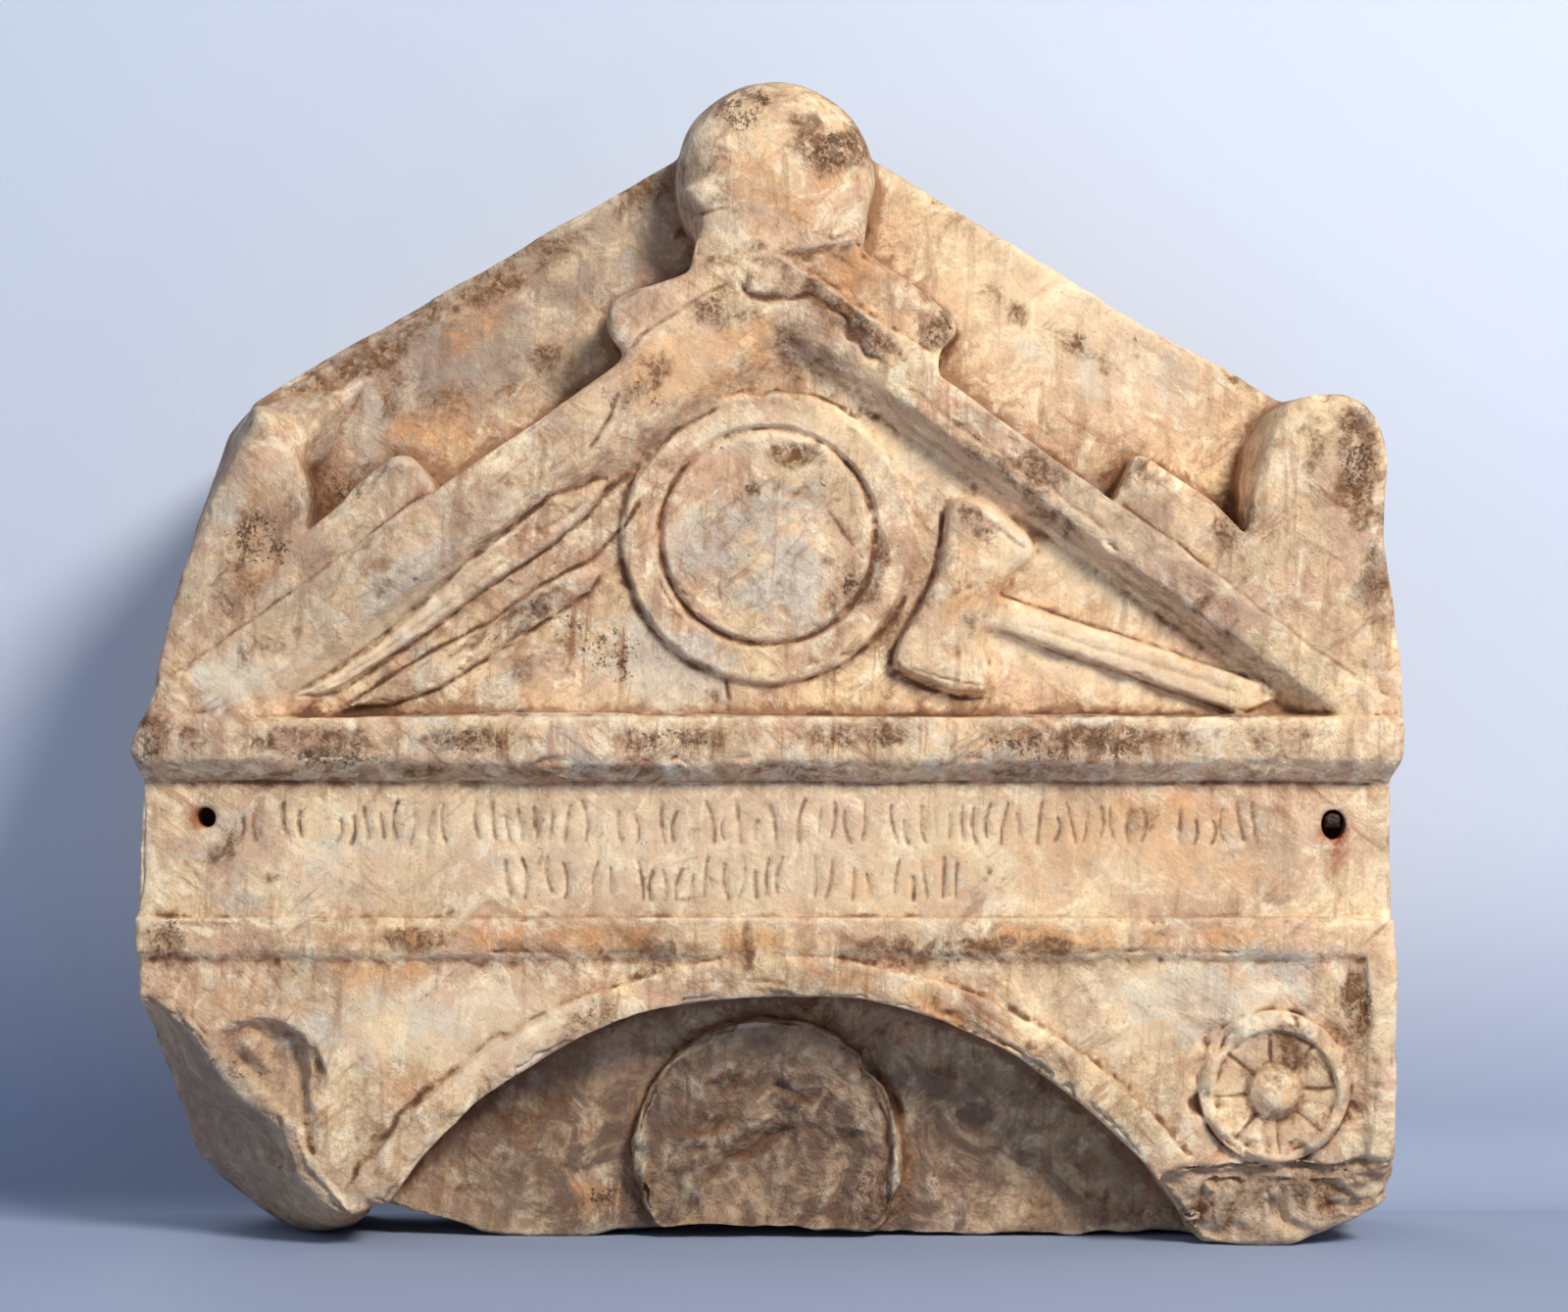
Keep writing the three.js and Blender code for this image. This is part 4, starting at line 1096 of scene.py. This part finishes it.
def blotch(tree, group, place, weight, size, softness):
    inputs = {"Vector": place, "Weight": weight, "Size mm": size, "Softness": softness}
    return use_group(tree, group, inputs)


def mottled(tree, group, place, amount, colour):
    shade = use_group(tree, group, {"Vector": place, "Amount": amount})["Shade"]
    return mix(tree, 1.0, colour, shade, "MULTIPLY")


def grained(tree, group, place, fine, coarse):
    return use_group(tree, group, {"Vector": place, "Fine mm": fine, "Coarse mm": coarse})["Height"]


def raise_surface(tree, shader, height):
    """Gives the shader a bump of that height in millimetres."""
    bump = add(tree, "ShaderNodeBump", {"Height": height, "Distance": MM, "Strength": 1.0})
    fill(tree, shader, {"Normal": bump.outputs[0]})


def make_marble(blotches, mottle, surface_grain, drag_marks):
    material, tree, shader = new_material("weathered_marble")
    place = add(tree, "ShaderNodeTexCoord").outputs["Object"]
    names = ("hollow", "shelter", "edge", "broken", "brown", "dotted", "ochre", "grey", "ashen_and_shade",
             "grime_and_shade", "rust", "clean_and_lit", "lines")
    at = {name: point_value(tree, name) for name in names}
    marks = use_group(tree, drag_marks, {"Vector": place, "Size mm": 8.0})
    dirty = maths(tree, "SUBTRACT", 1.0, times(tree, at["clean_and_lit"], 0.45))

    # The stone itself: cream, with pinkish, pale, cool and ochre parts.
    tone = fit(tree, grain(tree, place, 60, 6.0, 0.64, 1.0), 0.38, 0.62)
    colour = mix(tree, tone, CREAM, PINKISH)
    pale = fit(tree, grain(tree, place, 26, 7.0, 0.68, 1.5), 0.49, 0.62, 0.0, 0.85)
    colour = mix(tree, pale, colour, PALE)
    cool = blotch(tree, blotches, place, at["grey"], 32, 0.14)["Mask"]
    colour = coat(tree, colour, cool, COOL_WHITE, 0.6)
    warm = blotch(tree, blotches, place, at["ochre"], 40, 0.2)["Mask"]
    colour = coat(tree, colour, warm, OCHRE, 0.75)

    # Marks dragged down and across by rain and cleaning.
    streaky = plus(tree, dirty, at["dotted"])
    upright = times(tree, fit(tree, marks["Upright"], 0.5, 0.66, 0.0, 0.6), streaky)
    colour = mix(tree, upright, colour, RUN_BROWN)
    slanting = times(tree, fit(tree, marks["Slanting"], 0.53, 0.68, 0.0, 0.7), dirty)
    colour = mix(tree, slanting, colour, SMEAR_BROWN)
    colour = mottled(tree, mottle, place, times(tree, dirty, 2.6), colour)

    # Thin brown washes, with painted shade where a place lies deeper than the front around it, paler
    # clean parts that also paint light on the field and the back, fresher breaks, the niche's grime
    # with painted shade, and the ashen skin with painted shade.
    wash = grain(tree, place, 15, 7.0, 0.7, 1.2)
    sheltered = times(tree, at["shelter"], dirty)
    wash_and_shade = plus(tree, wash, times(tree, sheltered, 0.36))
    wash_and_shade = maths(tree, "SUBTRACT", wash_and_shade, times(tree, at["clean_and_lit"], 0.1))
    colour = mix(tree, fit(tree, wash_and_shade, 0.52, 0.77, 0.0, 0.85), colour, WASH_AND_SHADE_BROWN)
    colour = coat(tree, colour, at["clean_and_lit"], PALE, 0.4)
    colour = coat(tree, colour, at["broken"], FRESH_BREAK, 0.4)
    patchy = fit(tree, grain(tree, place, 22, 6.0, 0.68, 1.0), 0.36, 0.58, 0.35, 1.05)
    colour = coat(tree, colour, times(tree, at["grime_and_shade"], patchy), GRIME_AND_SHADE, 0.92)
    colour = coat(tree, colour, times(tree, at["ashen_and_shade"], patchy), ASHEN_AND_SHADE, 0.7)

    # Brown patina, dark dotted dirt, and greenish specks.
    patina = blotch(tree, blotches, place, at["brown"], 20, 0.2)["Mask"]
    thin = fit(tree, grain(tree, place, 4.5, 5.0, 0.72, 0.6), 0.36, 0.58, 0.3, 1.0)
    colour = coat(tree, colour, patina, PATINA, thin)
    dots = blotch(tree, blotches, place, at["dotted"], 14, 0.2)["Speckle"]
    colour = coat(tree, colour, dots, DARK_SPECK, 0.85)
    moss = fit(tree, grain(tree, place, 3.2, 3.0, 0.7), 0.61, 0.7, 0.0, 0.4)
    colour = mix(tree, moss, colour, MOSS)

    # Orange stains, dirt and painted shade in the hollows, dark cut lines of dirt and painted shade,
    # bare edges, rust by the pin holes.
    uneven = fit(tree, grain(tree, place, 12, 5.0, 0.68), 0.34, 0.6, 0.4, 1.2)
    dirt_and_shade = times(tree, times(tree, at["hollow"], uneven), dirty)
    colour = mix(tree, fit(tree, dirt_and_shade, 0.1, 0.9, 0.0, 0.9), colour, STAIN_AND_SHADE)
    colour = mix(tree, fit(tree, dirt_and_shade, 0.35, 1.0, 0.0, 0.85), colour, CREVICE_SHADE_AND_DIRT)
    colour = mix(tree, times(tree, at["lines"], uneven, clamp=True), colour, LINE_BROWN)
    rubbed = fit(tree, grain(tree, place, 9, 4.0, 0.6), 0.4, 0.58, 0.0, 0.6)
    colour = coat(tree, colour, at["edge"], BARE_EDGE, rubbed)
    stained = fit(tree, grain(tree, place, 5, 4.0, 0.6), 0.3, 0.6, 0.3, 1.0)
    colour = coat(tree, colour, at["rust"], RUST, stained)

    height = grained(tree, surface_grain, place, 0.2, 1.3)
    height = plus(tree, height, times(tree, marks["Upright"], 0.6))
    height = plus(tree, height, times(tree, marks["Slanting"], 1.0))
    height = times(tree, height, plus(tree, at["broken"], dirty))
    raise_surface(tree, shader, height)
    rough = fit(tree, grain(tree, place, 16, 4.0, 0.6), 0.3, 0.7, 0.6, 0.85)
    fill(tree, shader, {"Base Color": colour, "Roughness": rough, "Specular IOR Level": 0.35})
    return material


def make_iron(blotches, mottle, surface_grain):
    material, tree, shader = new_material("rusted_iron")
    place = add(tree, "ShaderNodeTexCoord").outputs["Object"]
    flakes = blotch(tree, blotches, place, 0.4, 4, 0.12)["Mask"]
    colour = mix(tree, flakes, BLACK_IRON, IRON_RUST)
    colour = mottled(tree, mottle, place, 1.6, colour)
    raise_surface(tree, shader, grained(tree, surface_grain, place, 0.15, 0.6))
    rough = fit(tree, flakes, 0.0, 1.0, 0.5, 0.9)
    fill(tree, shader, {"Base Color": colour, "Roughness": rough, "Metallic": 0.35})
    return material


def make_plaster(name):
    """The studio's pale plaster, with painted shade darkening it towards the floor, and clear from
    behind.
    """
    material, tree, shader = new_material(name)
    place = add(tree, "ShaderNodeTexCoord").outputs["Object"]
    height = add(tree, "ShaderNodeSeparateXYZ", {0: place}).outputs["Z"]
    colour = mix(tree, fit(tree, height, 0.0, PALE_HEIGHT), STUDIO_FLOOR_SHADE, STUDIO_WALL)
    fill(tree, shader, {"Base Color": colour, "Roughness": 0.9, "Specular IOR Level": 0.1})
    behind = add(tree, "ShaderNodeNewGeometry").outputs["Backfacing"]
    clear = add(tree, "ShaderNodeBsdfTransparent").outputs[0]
    either = add(tree, "ShaderNodeMixShader", {0: behind, 1: shader.outputs[0], 2: clear})
    output = next(node for node in tree.nodes if node.type == "OUTPUT_MATERIAL")
    fill(tree, output, {"Surface": either.outputs[0]})
    return material


# ---- Studio, in metres and watts ----

FLOOR_REACH = 9.0
FLOOR_LEVEL = -0.0005            # a little below the stele's foot
COVE_START = 0.08
COVE_RADIUS = 0.045
COVE_STEPS = 10
WALL_SIZE = 4.0
LIT_POINT = Vector((0.0, 0.0, 0.3))
# Each lamp's name, place, size, power and colour.
LAMPS = (
    ("key", (1.3, -1.9, 1.75), 0.8, 79, (1.0, 0.95, 0.87)),
    ("left_fill", (-2.2, -2.4, 0.9), 2.0, 9, (0.86, 0.91, 1.0)),
    ("rear_fill", (-1.2, 2.6, 1.8), 1.6, 24, (0.92, 0.95, 1.0)),
)
AIR_COLOUR = (0.72, 0.83, 1.0, 1.0)
AIR_STRENGTH = 0.32
CAMERA_PLACE = (0.0087, -2.073, 0.2868)
LENS = 95.7                      # millimetres, as the sensor's width is
SENSOR_WIDTH = 36


def make_sheet(name, rows, material):
    """A sheet through rows of points."""
    points = [point for row in rows for point in row]
    width = len(rows[0])
    faces = []
    for i in range(len(rows) - 1):
        for j in range(width - 1):
            corner = i * width + j
            faces.append((corner, corner + 1, corner + width + 1, corner + width))
    mesh = bpy.data.meshes.new(name)
    mesh.from_pydata(points, [], faces)
    mesh.shade_smooth()
    mesh.materials.append(material)
    sheet = bpy.data.objects.new(name, mesh)
    bpy.context.scene.collection.objects.link(sheet)
    return sheet


def make_studio():
    """A wide floor, and a wall close behind that turns up from it in a small cove."""
    plaster = make_plaster("studio_plaster")
    make_sheet("floor", [
        [(-FLOOR_REACH, y, FLOOR_LEVEL), (FLOOR_REACH, y, FLOOR_LEVEL)]
        for y in (-FLOOR_REACH, FLOOR_REACH)
    ], plaster)
    bends = [math.pi / 2 * i / COVE_STEPS for i in range(COVE_STEPS + 1)]
    section = [
        (COVE_START + COVE_RADIUS * math.sin(bend), COVE_RADIUS * (1 - math.cos(bend)))
        for bend in bends
    ]
    section.append((COVE_START + COVE_RADIUS, WALL_SIZE))
    rows = [[(-WALL_SIZE, y, z), (WALL_SIZE, y, z)] for y, z in section]
    backdrop = make_sheet("backdrop", rows, plaster)
    backdrop.visible_shadow = False
    backdrop.visible_diffuse = False


def place_in_scene(name, data, location):
    item = bpy.data.objects.new(name, data)
    item.location = location
    bpy.context.scene.collection.objects.link(item)
    return item


def make_lights():
    for name, place, size, power, colour in LAMPS:
        light = bpy.data.lights.new(name, "AREA")
        light.shape = "DISK"
        light.size = size
        light.energy = power
        light.color = colour
        lamp = place_in_scene(name, light, place)
        lamp.rotation_euler = (LIT_POINT - Vector(place)).to_track_quat("-Z", "Y").to_euler()
    world = bpy.data.worlds.new("studio_air")
    world.use_nodes = True
    fill(world.node_tree, world.node_tree.nodes["Background"], {0: AIR_COLOUR, 1: AIR_STRENGTH})
    bpy.context.scene.world = world


def make_camera():
    camera = bpy.data.cameras.new("camera")
    camera.sensor_width = SENSOR_WIDTH
    camera.lens = LENS
    viewer = place_in_scene("camera", camera, CAMERA_PLACE)
    viewer.rotation_euler = (math.pi / 2, 0, 0)
    bpy.context.scene.camera = viewer


shared = (make_blotches(), make_mottle(), make_surface_grain())
make_block(make_marble(*shared, make_drag_marks()))
make_pin(make_iron(*shared))
make_studio()
make_lights()
make_camera()
bpy.context.scene.view_settings.view_transform = "Standard"
